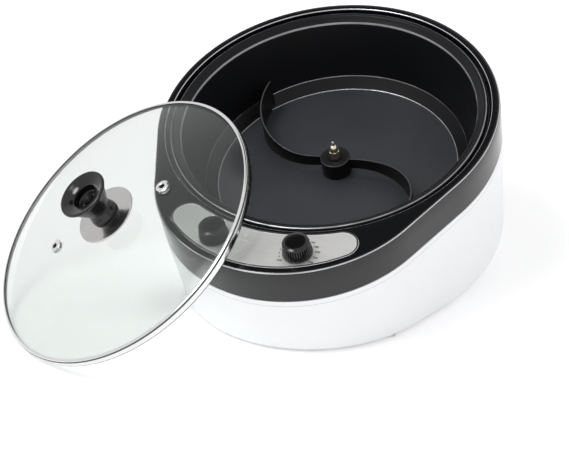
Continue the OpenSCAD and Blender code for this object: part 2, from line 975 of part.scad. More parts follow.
module terminal_block() color([0.90, 0.90, 0.86]) {
    w = 30;
    d = 15;
    h = 12;
    translate([0, 82, cover_z]) {
        difference() {
            translate([-w / 2, -d / 2, 0])
                cube([w, d, h]);
            for (k = [-1:1]) {
                translate([k * 9.5, -d, h / 2])
                    rotate([-90, 0, 0])
                        cylinder(h = 2 * d, r = 2);
                translate([k * 9.5, 0, h / 2])
                    cylinder(h = h, r = 2.4);
            }
        }
    }
}

// ---------------------------------------------------------------- lid

// the glass as a cap between two spheres, grown by g to make room for it
module glass_cap(g) {
    intersection() {
        difference() {
            translate([0, 0, ball_z])
                sphere(r = ball_r + g, $fn = 240);
            translate([0, 0, ball_z])
                sphere(r = ball_r - glass_t - g, $fn = 240);
        }
        cylinder(h = lid_dome_h + 20, r = glass_r + g, $fn = 180);
    }
}

// stands its children on the glass at a vent, Z along the glass normal
module at_vent(a) {
    translate([0, 0, ball_z])
        rotate([0, 0, a])
            rotate([0, asin(vent_r / ball_r), 0])
                translate([0, 0, ball_r])
                    children();
}

module lid_glass() color(clear) {
    lid_frame()
        difference() {
            glass_cap(0);
            cylinder(h = 60, r = 3.2);
            for (a = vent_a)
                at_vent(a)
                    translate([0, 0, -20])
                        cylinder(h = 40, r = 4);
        }
}

module lid_rim() color(steel) {
    in_r = glass_r - 2.2;
    lid_frame()
        difference() {
            rotate_extrude($fn = 180)
                polygon([[in_r, 0.6], [in_r + 0.6, 0], [lid_r - 0.6, 0], [lid_r, 0.6],
                    [lid_r, rim_h + 0.4], [lid_r - 0.6, rim_h + 1], [in_r, rim_h + 2.1]]);
            glass_cap(0.05);
        }
}

module knob_plate() color(steel) {
    lid_frame()
        difference() {
            intersection() {
                translate([0, 0, ball_z])
                    sphere(r = ball_r + plate_t, $fn = 240);
                union() {
                    cylinder(h = 80, r = plate_r - 0.8, $fn = 120);
                    cylinder(h = ball_z + sqrt(pow(ball_r + plate_t, 2) - pow(plate_r, 2)) - 0.5,
                        r = plate_r, $fn = 120);
                }
            }
            translate([0, 0, ball_z])
                sphere(r = ball_r + 0.02, $fn = 240);
            cylinder(h = 80, r = 3.2);
        }
}

module lid_knob() color(jet) {
    foot = 12.5;
    waist = 10.5;
    top = lid_knob_r;
    h = lid_knob_h;
    lid_frame()
        translate([0, 0, knob_seat_z])
            rotate_extrude($fn = 120)
                polygon(concat(
                    [[2.7, 0], [foot, 0], [foot, 1.4], [foot - 0.5, 1.9], [foot - 0.5, 2.3], [foot, 2.8],
                        [foot - 0.2, 4]],
                    [for (a = [0:10:80])
                        [waist + (top - waist) * (1 - cos(a)), 9 + (h - 13) * sin(a)]],
                    [for (a = [-20:20:100]) [top - 1.8 + 1.8 * cos(a), h - 2.6 + 1.8 * sin(a)]],
                    [[9.4, h - 1.6], [8.5, h - 2.6], [7.6, h - 7], [2.7, h - 7]]));
}

module lid_screw() color(brass) {
    top = knob_seat_z + lid_knob_h - 6.8;
    low = ball_z + ball_r - glass_t - washer_drop;
    lid_frame() {
        translate([0, 0, low - 2])
            cylinder(h = 2, r1 = 4.2, r2 = 5);
        translate([0, 0, low - eps])
            cylinder(h = top - low + 3.4, r = 2.6);
        translate([0, 0, top])
            rotate_extrude($fn = 48)
                polygon(concat([[0, 0], [5, 0], [5, 2.4]],
                    [for (a = [0:15:90]) [4.4 * cos(a), 2.6 + 2.2 * sin(a)]]));
    }
}

module lid_washer() color(jet) {
    lid_frame()
        translate([0, 0, ball_z + ball_r - glass_t - washer_drop])
            tube(9, 2.7, 1.2);
}

module vent_grommets() color(steel) {
    lid_frame()
        for (a = vent_a)
            at_vent(a)
                translate([0, 0, -glass_t - 1])
                    rotate_extrude($fn = 48)
                        polygon([[2, 0], [5.2, 0], [5.2, 0.8], [3.9, 0.9], [3.9, glass_t + 1.1],
                            [5.6, glass_t + 1.15], [5.9, glass_t + 1.6], [5, glass_t + 2.2],
                            [3.2, glass_t + 2.4], [2, glass_t + 1.8]]);
}

// ---------------------------------------------------------------- pieces

body_shell();
top_ring();
ring_screws();
control_panel();
roasting_pan();
pan_seal();
stirrer();
hub_nut();
nut_washer();
drive_shaft();
shaft_bush();
bush_nut();
heating_element();
element_supports();
heat_shield();
shield_screws();
motor_bracket();
bracket_screws();
gearbox();
gearbox_screws();
motor_can();
timer_unit();
timer_spindle();
timer_knob();
thermostat_unit();
thermostat_spindle();
thermostat_knob();
neck_nuts();
thermal_cutout();
terminal_block();
cord_gland();
base_cover();
base_screws();
feet();
lid_glass();
lid_rim();
knob_plate();
lid_knob();
lid_screw();
lid_washer();
vent_grommets();
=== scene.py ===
"""Looks of the drum roaster: finishes, rounded trim, dial print, floor, sky and camera.

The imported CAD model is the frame. Sizes are written in millimetres in the CAD's own
drum and lid frames, and each finished mesh is placed in metres.
"""

import logging
import math
from dataclasses import dataclass, field
from enum import Enum
from typing import Callable, Optional, Sequence, Union

import bmesh
import bpy
from mathutils import Matrix, Vector


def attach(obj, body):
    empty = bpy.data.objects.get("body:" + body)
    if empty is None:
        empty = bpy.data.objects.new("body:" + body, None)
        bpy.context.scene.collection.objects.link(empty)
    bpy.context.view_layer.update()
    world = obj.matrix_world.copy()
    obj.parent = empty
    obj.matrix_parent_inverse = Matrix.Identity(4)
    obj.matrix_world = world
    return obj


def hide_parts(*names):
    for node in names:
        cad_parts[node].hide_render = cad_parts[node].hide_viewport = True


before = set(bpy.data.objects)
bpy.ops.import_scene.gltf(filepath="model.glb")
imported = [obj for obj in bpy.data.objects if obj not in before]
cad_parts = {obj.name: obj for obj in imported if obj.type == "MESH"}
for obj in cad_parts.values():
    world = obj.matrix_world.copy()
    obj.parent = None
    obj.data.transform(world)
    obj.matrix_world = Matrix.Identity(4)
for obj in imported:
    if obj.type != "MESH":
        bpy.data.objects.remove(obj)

LOG = logging.getLogger("roaster")
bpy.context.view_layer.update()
MM = 0.001
SMOOTH_DEG = 34.0
MERGE_MM = 1e-4
FACES_UP = 0.9

Triple = tuple[float, float, float]
Colour = tuple[float, float, float]
Point = tuple[float, float]
Section = Callable[[float], Vector]
Chooser = Callable[[float, float, bmesh.types.BMFace], int]


# ------------------------------------------------------------------ points and places


def tinted(tone: Colour, factor: float) -> Colour:
    """Return a colour made lighter or darker by a factor."""
    return tuple(min(1.0, part * factor) for part in tone)


def polar(radius: float, angle: float, height: float = 0.0) -> Vector:
    """Return the point at a radius, at an angle in radians and at a height."""
    return Vector((radius * math.cos(angle), radius * math.sin(angle), height))


def circle(radius: float, height: float) -> Section:
    """Return a round section at a height."""
    return lambda angle: polar(radius, angle, height)


def shifted(points: Sequence[Point], radius: float, height: float) -> list[Point]:
    """Return (radius, height) points moved out by a radius and up by a height."""
    return [(radius + out, height + up) for out, up in points]


@dataclass(frozen=True)
class Stance:
    """Where the leaning drum and the loose lid stand, in degrees and millimetres."""

    lean: float = 17.0
    ring_height: float = 145.0
    lid_turn: float = -126.4
    lid_tilt: float = 37.75
    lid_foot: Point = (-185.6, -214.9)
    lid_r: float = 126.8
    lid_sink: float = 0.3
    knob_x: float = 36.0
    knob_y: float = 157.0

    def drum(self) -> Matrix:
        """Return the drum frame, whose Z = 0 is the ring's top plane."""
        lean = Matrix.Rotation(math.radians(self.lean), 4, "X")
        return Matrix.Translation((0, 0, self.ring_height)) @ lean

    def lid(self) -> Matrix:
        """Work out where the lid leans.

        Returns:
            The lid frame, whose Z = 0 is the rim's lower plane.
        """
        turn = math.radians(self.lid_turn)
        tilt = math.radians(self.lid_tilt)
        back = self.lid_r * math.cos(tilt)
        at = (
            self.lid_foot[0] - back * math.cos(turn),
            self.lid_foot[1] - back * math.sin(turn),
            self.lid_r * math.sin(tilt) - self.lid_sink,
        )
        turned = Matrix.Rotation(turn, 4, "Z") @ Matrix.Rotation(tilt, 4, "Y")
        return Matrix.Translation(at) @ turned

    def dial(self, side: float) -> Matrix:
        """Return a dial's frame, on the panel's plane: side is 1 for right, -1 for left."""
        return self.drum() @ Matrix.Translation((side * self.knob_x, -self.knob_y, 0))


STANCE = Stance()


class Body(Enum):
    """The bodies that move as one."""

    HOUSING = "housing"
    STIRRING = "stirring"
    TIMER = "timer_dial"
    THERMOSTAT = "thermostat_dial"
    LID = "lid"


# ------------------------------------------------------------------ shader maths


class Wire:
    """A node socket in an expression: its operators add Math nodes."""

    def __init__(self, graph: "Graph", socket: bpy.types.NodeSocket) -> None:
        """Keep the graph that owns the nodes, and the socket."""
        self.graph = graph
        self.socket = socket

    def _maths(self, operation: str, first: "Term", second: "Term") -> "Wire":
        """Add one Math node and return its output."""
        settings = {"operation": operation}
        return self.graph.wire("ShaderNodeMath", settings, {0: first, 1: second})

    def __add__(self, other: "Term") -> "Wire":
        """Return self + other."""
        return self._maths("ADD", self, other)

    def __radd__(self, other: "Term") -> "Wire":
        """Return other + self."""
        return self._maths("ADD", other, self)

    def __sub__(self, other: "Term") -> "Wire":
        """Return self - other."""
        return self._maths("SUBTRACT", self, other)

    def __rsub__(self, other: "Term") -> "Wire":
        """Return other - self."""
        return self._maths("SUBTRACT", other, self)

    def __mul__(self, other: "Term") -> "Wire":
        """Return self * other."""
        return self._maths("MULTIPLY", self, other)

    def __rmul__(self, other: "Term") -> "Wire":
        """Return other * self."""
        return self._maths("MULTIPLY", other, self)

    def over(self, edge: float) -> "Wire":
        """Return 1 where self is over edge, and 0 elsewhere."""
        return self._maths("GREATER_THAN", self, edge)


Term = Union[Wire, float, Sequence[float]]


class Graph:
    """A node tree, whose nodes all come from one method."""

    def __init__(self, tree: bpy.types.NodeTree) -> None:
        """Keep the tree."""
        self.tree = tree

    def feed(self, socket: bpy.types.NodeSocket, value: Term) -> None:
        """Link a wire to a socket, or set the socket itself.

        Args:
            socket: the node's input.
            value: a wire, or the value that is the same everywhere.
        """
        if isinstance(value, Wire):
            self.tree.links.new(value.socket, socket)
        else:
            socket.default_value = value

    def node(
        self, kind: str, settings: Optional[dict] = None, inputs: Optional[dict] = None
    ) -> bpy.types.Node:
        """Add a node.

        Args:
            kind: the node's type.
            settings: attributes set first; "stops" holds a ramp's stops.
            inputs: values or wires by socket name or number.

        Returns:
            The new node.
        """
        made = self.tree.nodes.new(kind)
        for key, value in (settings or {}).items():
            if key == "stops":
                self._stops(made, value)
            else:
                setattr(made, key, value)
        for key, value in (inputs or {}).items():
            self.feed(made.inputs[key], value)
        return made

    @staticmethod
    def _stops(ramp: bpy.types.Node, stops: Sequence[Point]) -> None:
        """Set the stops of a colour ramp.

        Args:
            ramp: the ramp's node.
            stops: (place, grey) pairs in order.
        """
        elements = ramp.color_ramp.elements
        while len(elements) < len(stops):
            elements.new(0.5)
        for element, (place, grey) in zip(elements, stops):
            element.position = place
            element.color = (grey, grey, grey, 1.0)

    def wire(
        self,
        kind: str,
        settings: Optional[dict] = None,
        inputs: Optional[dict] = None,
        output: Union[int, str] = 0,
    ) -> Wire:
        """Add a node and return one of its outputs, by name or number, as a wire."""
        return Wire(self, self.node(kind, settings, inputs).outputs[output])

    def mixed(self, factor: Wire, under: Term, over: Term) -> Wire:
        """Return a colour between two colours with alpha, by a factor."""
        inputs = {"Factor": factor, 6: under, 7: over}
        return self.wire("ShaderNodeMix", {"data_type": "RGBA"}, inputs, 2)


class Paint(Graph):
    """One procedural material round a Principled shader."""

    def __init__(self, name: str) -> None:
        """Start the material.

        Args:
            name: the material's name.
        """
        self.material = bpy.data.materials.new(name)
        self.material.use_nodes = True
        super().__init__(self.material.node_tree)
        self.shader = self.tree.nodes["Principled BSDF"]

    def place(self, at: Optional[Matrix] = None, stretch: Triple = (1, 1, 1)) -> Wire:
        """Return Object coordinates, seen from a frame and stretched.

        Args:
            at: the frame in millimetres that the pattern follows, or None.
            stretch: how much finer the pattern is along each axis.

        Returns:
            The coordinates, in metres times stretch.
        """
        where = self.wire("ShaderNodeTexCoord", output="Object")
        if at is not None:
            inputs = {
                "Vector": where,
                "Location": tuple(at.to_translation() * MM),
                "Rotation": tuple(at.to_euler()),
            }
            where = self.wire("ShaderNodeMapping", {"vector_type": "TEXTURE"}, inputs)
        if stretch != (1, 1, 1):
            where = self.wire("ShaderNodeMapping", {}, {"Vector": where, "Scale": stretch})
        return where

    def noise(self, where: Wire, size_mm: float, detail: float) -> Wire:
        """Return a noise whose features are about size_mm across."""
        inputs = {"Vector": where, "Scale": 1 / (size_mm * MM), "Detail": detail}
        return self.wire("ShaderNodeTexNoise", {}, inputs)

    def ramp(self, factor: Wire, stops: Sequence[Point]) -> Wire:
        """Return factor reshaped by a ramp of (place, grey) stops."""
        return self.wire("ShaderNodeValToRGB", {"stops": stops}, {"Fac": factor})

    def shade(self, factor: Wire, low: Colour, high: Colour) -> Wire:
        """Return a colour between low and high."""
        return self.mixed(factor, (*low, 1.0), (*high, 1.0))

    def vary(self, factor: Wire, tone: Colour, spread: float) -> Wire:
        """Return a tone that a factor makes darker or lighter by up to spread."""
        return self.shade(factor, tinted(tone, 1 - spread), tinted(tone, 1 + spread))

    def lay(self, factor: Wire, under: Wire, over: Colour) -> Wire:
        """Return the colour wire under, covered by the colour over by factor."""
        return self.mixed(factor, under, (*over, 1.0))

    def bump(self, height: Wire, depth_mm: float, strength: float = 1.0) -> None:
        """Drive the shader's normal by a height, depth_mm deep."""
        inputs = {"Height": height, "Distance": depth_mm * MM, "Strength": strength}
        self.drive("Normal", self.wire("ShaderNodeBump", {}, inputs, "Normal"))

    def drive(self, socket: str, wire: Wire) -> None:
        """Link a wire to one of the shader's sockets."""
        self.feed(self.shader.inputs[socket], wire)

    def fix(self, **values: Union[float, Colour]) -> None:
        """Set the shader's own sockets.

        Args:
            values: each socket's value by its name, with _ for a space.
        """
        for key, value in values.items():
            whole = (*value, 1.0) if isinstance(value, tuple) else value
            self.feed(self.shader.inputs[key.replace("_", " ")], whole)


# ------------------------------------------------------------------ finishes


class Finish:
    """A surface finish, which is made as one material."""

    def make(self, name: str) -> bpy.types.Material:
        """Make the material.

        Args:
            name: the material's name.

        Returns:
            The material.
        """
        paint = Paint(name)
        self.dress(paint)
        return paint.material

    def dress(self, paint: Paint) -> None:
        """Add this finish's nodes to a material: each kind of finish has its own."""
        raise NotImplementedError


@dataclass(frozen=True)
class Moulded(Finish):
    """Moulded plastic, rubber or ceramic: clouded colour, fine grain and faint scuffs."""

    tone: Colour
    roughness: float = 0.4
    coat: float = 0.0
    coat_roughness: float = 0.05
    specular: float = 0.5
    glow: float = 0.0
    grain_mm: float = 0.6
    grain_depth_mm: float = 0.01
    cloud: float = 0.06
    cloud_mm: float = 38.0
    cloud_roughness: float = 0.08
    scuff: float = 0.05
    scuff_mm: float = 13.0
    scuff_stretch: Triple = (1.0, 5.0, 2.2)
    scuff_stops: tuple[Point, ...] = ((0.56, 0.0), (0.70, 1.0))
    dust: float = 0.0
    dust_mm: float = 2.4
    dust_tone: Colour = (0.55, 0.53, 0.50)
    dust_stops: tuple[Point, ...] = ((0.55, 0.0), (0.75, 1.0))
    seam: Optional[Matrix] = None
    seam_z: Point = (-39.4, -38.7)
    seam_tone: Colour = (0.60, 0.60, 0.62)

    def dress(self, paint: Paint) -> None:
        """Cloud, dust and scuff the plastic.

        Args:
            paint: the material that gets the nodes.
        """
        where = paint.place()
        clouds = paint.noise(where, self.cloud_mm, detail=3)
        grain = paint.noise(where, self.grain_mm, detail=2)
        streaks = paint.noise(paint.place(stretch=self.scuff_stretch), self.scuff_mm, detail=4)
        marks = paint.ramp(streaks, self.scuff_stops)
        shade = paint.vary(clouds, self.tone, self.cloud)
        if self.dust > 0:
            settled = paint.ramp(paint.noise(where, self.dust_mm, detail=5), self.dust_stops)
            shade = paint.lay(settled * self.dust, shade, self.dust_tone)
        if self.seam is not None:
            spot = {"Vector": paint.place(self.seam)}
            high = paint.wire("ShaderNodeSeparateXYZ", {}, spot, "Z")
            low, top = (edge * MM for edge in self.seam_z)
            shade = paint.lay(high.over(low) * (1 - high.over(top)), shade, self.seam_tone)
        paint.drive("Base Color", shade)
        uneven = self.roughness + (clouds - 0.5) * self.cloud_roughness
        paint.drive("Roughness", uneven + marks * self.scuff)
        paint.fix(
            Coat_Weight=self.coat,
            Coat_Roughness=self.coat_roughness,
            Specular_IOR_Level=self.specular,
        )
        if self.glow > 0:
            paint.fix(Emission_Color=(1.0, 1.0, 1.0), Emission_Strength=self.glow)
        paint.bump(grain, self.grain_depth_mm)


@dataclass(frozen=True)
class Brushed(Finish):
    """Brushed sheet metal, with fine lines along its frame's X axis."""

    tone: Colour
    roughness: float = 0.32
    follows: Optional[Matrix] = None
    line_mm: float = 0.35
    line_stretch: Triple = (0.012, 1.0, 1.0)
    line_depth_mm: float = 0.012
    line_roughness: float = 0.16
    band_mm: float = 4.5
    band_stretch: Triple = (0.04, 1.0, 1.0)
    band_share: float = 0.35
    streak: float = 0.10
    smudge_mm: float = 22.0
    smudge_roughness: float = 0.07

    def dress(self, paint: Paint) -> None:
        """Draw the brushed lines and the smudges on them.

        Args:
            paint: the material that gets the nodes.
        """
        lines = paint.noise(paint.place(self.follows, self.line_stretch), self.line_mm, detail=3)
        bands = paint.noise(paint.place(self.follows, self.band_stretch), self.band_mm, detail=2)
        smudges = paint.noise(paint.place(self.follows), self.smudge_mm, detail=3)
        mix = lines * (1 - self.band_share) + bands * self.band_share
        paint.drive("Base Color", paint.vary(mix, self.tone, self.streak))
        brushed = self.roughness + (lines - 0.5) * self.line_roughness
        paint.drive("Roughness", brushed + (smudges - 0.5) * self.smudge_roughness)
        paint.fix(Metallic=1.0)
        paint.bump(lines, self.line_depth_mm, 0.7)


@dataclass(frozen=True)
class Metal(Finish):
    """Plain, plated, cast or polished metal, with mottling, hairlines and dulled patches."""

    tone: Colour
    roughness: float = 0.25
    mottle: float = 0.08
    mottle_mm: float = 6.0
    pit_mm: float = 0.5
    pit_depth_mm: float = 0.008
    dull: float = 0.12
    dull_stops: tuple[Point, ...] = ((0.45, 0.0), (0.68, 1.0))
    hair_mm: float = 0.5
    hair_stretch: Triple = (0.08, 1.0, 1.0)
    hair_roughness: float = 0.05

    def dress(self, paint: Paint) -> None:
        """Mottle and dull the metal.

        Args:
            paint: the material that gets the nodes.
        """
        where = paint.place()
        patches = paint.noise(where, self.mottle_mm, detail=3)
        pits = paint.noise(where, self.pit_mm, detail=3)
        hairs = paint.noise(paint.place(stretch=self.hair_stretch), self.hair_mm, detail=2)
        worn = paint.ramp(patches, self.dull_stops)
        paint.drive("Base Color", paint.vary(patches, self.tone, self.mottle))
        dulled = self.roughness + worn * self.dull
        paint.drive("Roughness", dulled + (hairs - 0.5) * self.hair_roughness)
        paint.fix(Metallic=1.0)
        paint.bump(pits, self.pit_depth_mm)


@dataclass(frozen=True)
class NonStick(Finish):
    """Sprayed non-stick coating: satin black, speckled, with faint turned rings below it."""

    tone: Colour
    roughness: float = 0.42
    specular: float = 0.5
    follows: Optional[Matrix] = None
    cloud: float = 0.14
    cloud_mm: float = 45.0
    cloud_roughness: float = 0.10
    speck: float = 0.25
    speck_mm: float = 0.9
    speck_light: float = 2.6
    speck_polish: float = 0.05
    speck_stops: tuple[Point, ...] = ((0.58, 0.0), (0.66, 1.0))
    spray_mm: float = 0.45
    spray_share: float = 0.6
    spray_depth_mm: float = 0.006
    ring_mm: float = 2.79
    ring_waver: float = 0.6

    def dress(self, paint: Paint) -> None:
        """Spray the coating over the turned rings.

        Args:
            paint: the material that gets the nodes.
        """
        where = paint.place(self.follows)
        clouds = paint.noise(where, self.cloud_mm, detail=3)
        specks = paint.ramp(paint.noise(where, self.speck_mm, detail=3), self.speck_stops)
        spray = paint.noise(where, self.spray_mm, detail=2)
        rings = paint.wire(
            "ShaderNodeTexWave",
            {"wave_type": "RINGS", "rings_direction": "Z", "wave_profile": "SIN"},
            {
                "Vector": where,
                "Scale": 1 / (self.ring_mm * MM),
                "Distortion": self.ring_waver,
                "Detail": 1.0,
            },
            "Fac",
        )
        shade = paint.vary(clouds, self.tone, self.cloud)
        light = tinted(self.tone, self.speck_light)
        paint.drive("Base Color", paint.lay(specks * self.speck, shade, light))
        uneven = self.roughness + (clouds - 0.5) * self.cloud_roughness
        paint.drive("Roughness", uneven - specks * self.speck_polish)
        paint.fix(Specular_IOR_Level=self.specular)
        relief = spray * self.spray_share + rings * (1 - self.spray_share)
        paint.bump(relief, self.spray_depth_mm)


@dataclass(frozen=True)
class ClearGlass(Finish):
    """Tempered glass with a faint grey tint, smears and fine dust."""

    tint: Colour = (0.76, 0.785, 0.768)
    shadow_tint: Colour = (0.90, 0.92, 0.91)
    ior: float = 1.43
    smear_mm: float = 30.0
    smear_tint: float = 0.985
    smear_roughness: float = 0.004
    smear_stops: tuple[Point, ...] = ((0.5, 0.0), (0.8, 1.0))
    dust_mm: float = 1.1
    dust_roughness: float = 0.006
    dust_stops: tuple[Point, ...] = ((0.68, 0.0), (0.74, 1.0))

    def dress(self, paint: Paint) -> None:
        """Make the glass clear, and let it cast hardly any shadow.

        Args:
            paint: the material that gets the nodes.
        """
        where = paint.place()
        smears = paint.noise(where, self.smear_mm, detail=4)
        dust = paint.ramp(paint.noise(where, self.dust_mm, detail=3), self.dust_stops)
        smeared = tinted(self.tint, self.smear_tint)
        paint.drive("Base Color", paint.shade(smears, smeared, self.tint))
        film = paint.ramp(smears, self.smear_stops) * self.smear_roughness
        paint.drive("Roughness", film + dust * self.dust_roughness)
        paint.fix(Transmission_Weight=1.0, IOR=self.ior)
        clear = paint.wire(
            "ShaderNodeBsdfTransparent", {}, {"Color": (*self.shadow_tint, 1.0)}
        )
        shadow = paint.wire("ShaderNodeLightPath", output="Is Shadow Ray")
        glass = Wire(paint, paint.shader.outputs[0])
        both = paint.wire("ShaderNodeMixShader", {}, {0: shadow, 1: glass, 2: clear})
        paint.feed(paint.tree.nodes["Material Output"].inputs["Surface"], both)


FINISHES: dict[str, Finish] = {
    "shell_white": Moulded(
        (0.84, 0.845, 0.855), 0.30, coat=0.15, grain_mm=0.8, grain_depth_mm=0.004,
        cloud=0.01, scuff=0.04, seam=STANCE.drum(),
    ),
    "ring_black": Moulded(
        (0.0046, 0.0049, 0.0058), 0.09, grain_mm=1.2, grain_depth_mm=0.001,
        cloud=0.10, scuff=0.03, dust=0.002,
    ),
    # painted highlight: pale metal on the middle of the ring's rounded outer edge and inner lip
    "ring_edge_painted_highlight": Metal((0.60, 0.60, 0.61), 0.16, 0.3, 30.0, dull=0.2),
    "panel_silver": Brushed((0.80, 0.795, 0.78), 0.44, STANCE.drum()),
    "pan_coating": NonStick((0.0048, 0.0051, 0.0060), 0.36, 0.18, STANCE.drum()),
    # painted light: the pan's coating made lighter and glossier on the floor, where light falls,
    # than on the walls
    "pan_floor_painted_light": NonStick((0.025, 0.0265, 0.031), 0.44, 0.5, STANCE.drum()),
    # painted highlights: pale metal on the pan's creases, brighter at the back, and on fine lines
    # round the lip and the bead
    "pan_crease_painted_highlight": Metal((0.34, 0.34, 0.35), 0.34, 0.5, 14.0, dull=0.3),
    "pan_line_painted_highlight": Metal((0.30, 0.30, 0.31), 0.28, 0.4, 14.0, dull=0.2),
    "seal_grey": Moulded((0.07, 0.07, 0.075), 0.62, grain_mm=0.5, grain_depth_mm=0.02),
    "stirrer_black": Moulded(
        (0.004, 0.004, 0.0042), 0.34, specular=0.22, grain_mm=0.5,
        cloud=0.10, scuff=0.06, dust=0.004,
    ),
    # painted highlight: a lighter black on the blades' upward-facing top edges and on the hub's
    # rounded rim
    "stirrer_top_painted_highlight": Moulded(
        (0.032, 0.032, 0.035), 0.28, grain_mm=0.5, cloud=0.15, scuff=0.1
    ),
    "brass_pale": Metal((0.86, 0.79, 0.62), 0.24, 0.08, 3.0),
    "steel_plain": Metal((0.60, 0.60, 0.61), 0.34, 0.08, 7.0),
    "steel_polished": Metal(
        (0.80, 0.80, 0.80), 0.10, 0.04, 9.0, pit_mm=0.4, pit_depth_mm=0.003, dull=0.05
    ),
    "steel_mirror": Metal(
        (0.56, 0.55, 0.54), 0.12, 0.06, 9.0, pit_mm=0.4, pit_depth_mm=0.003, dull=0.05
    ),
    # painted shade: dark steel on the lid rim's corners and inner edge, and in the vent eyelets'
    # bores and on their flanges' edges
    "steel_painted_shade": Metal(
        (0.10, 0.10, 0.095), 0.24, 0.20, 3.0, pit_mm=0.4, pit_depth_mm=0.003, dull=0.10
    ),
    "zinc_plated": Metal((0.62, 0.63, 0.65), 0.30, 0.14, 2.5),
    "element_sheath": Metal(
        (0.20, 0.17, 0.15), 0.48, 0.25, 5.0, pit_mm=0.6, pit_depth_mm=0.02, dull=0.20
    ),
    "support_ceramic": Moulded(
        (0.74, 0.70, 0.62), 0.55, grain_mm=0.5, grain_depth_mm=0.02, cloud=0.08
    ),
    "shield_aluminised": Metal((0.70, 0.70, 0.71), 0.38, 0.16, 3.5),
    "motor_grey": Metal((0.40, 0.41, 0.43), 0.36),
    "unit_cream": Moulded((0.70, 0.66, 0.56), 0.45, grain_depth_mm=0.012),
    "knob_black": Moulded(
        (0.0036, 0.0036, 0.004), 0.085, grain_depth_mm=0.0015,
        cloud=0.10, scuff=0.03, dust=0.003,
    ),
    "terminal_white": Moulded((0.78, 0.77, 0.72), 0.42),
    "gland_black": Moulded(
        (0.016, 0.016, 0.017), 0.55, grain_mm=0.5, grain_depth_mm=0.02
    ),
    "base_grey": Moulded(
        (0.045, 0.045, 0.048), 0.55, grain_mm=0.9, grain_depth_mm=0.03,
        cloud=0.08, scuff=0.08, dust=0.05,
    ),
    "foot_rubber": Moulded(
        (0.022, 0.022, 0.022), 0.75, grain_mm=0.4, grain_depth_mm=0.03,
        cloud=0.10, dust=0.08,
    ),
    "lid_glass": ClearGlass(),
    "dial_ink": Moulded(
        (0.02, 0.02, 0.022), 0.5, grain_mm=0.3, grain_depth_mm=0.004, cloud=0.1
    ),
    "floor_paper": Moulded(
        (0.84, 0.84, 0.84), 0.95, specular=0.1, glow=0.30, grain_mm=1.5,
        cloud=0.004, scuff=0.02,
    ),
}

# painted shade: the lid screw made black at the bottom of the lid knob's recess; the nut washer
# gets the same black
BLACKENED = {"lid_screw": "stirrer_black", "nut_washer": "stirrer_black"}


# ------------------------------------------------------------------ shapes


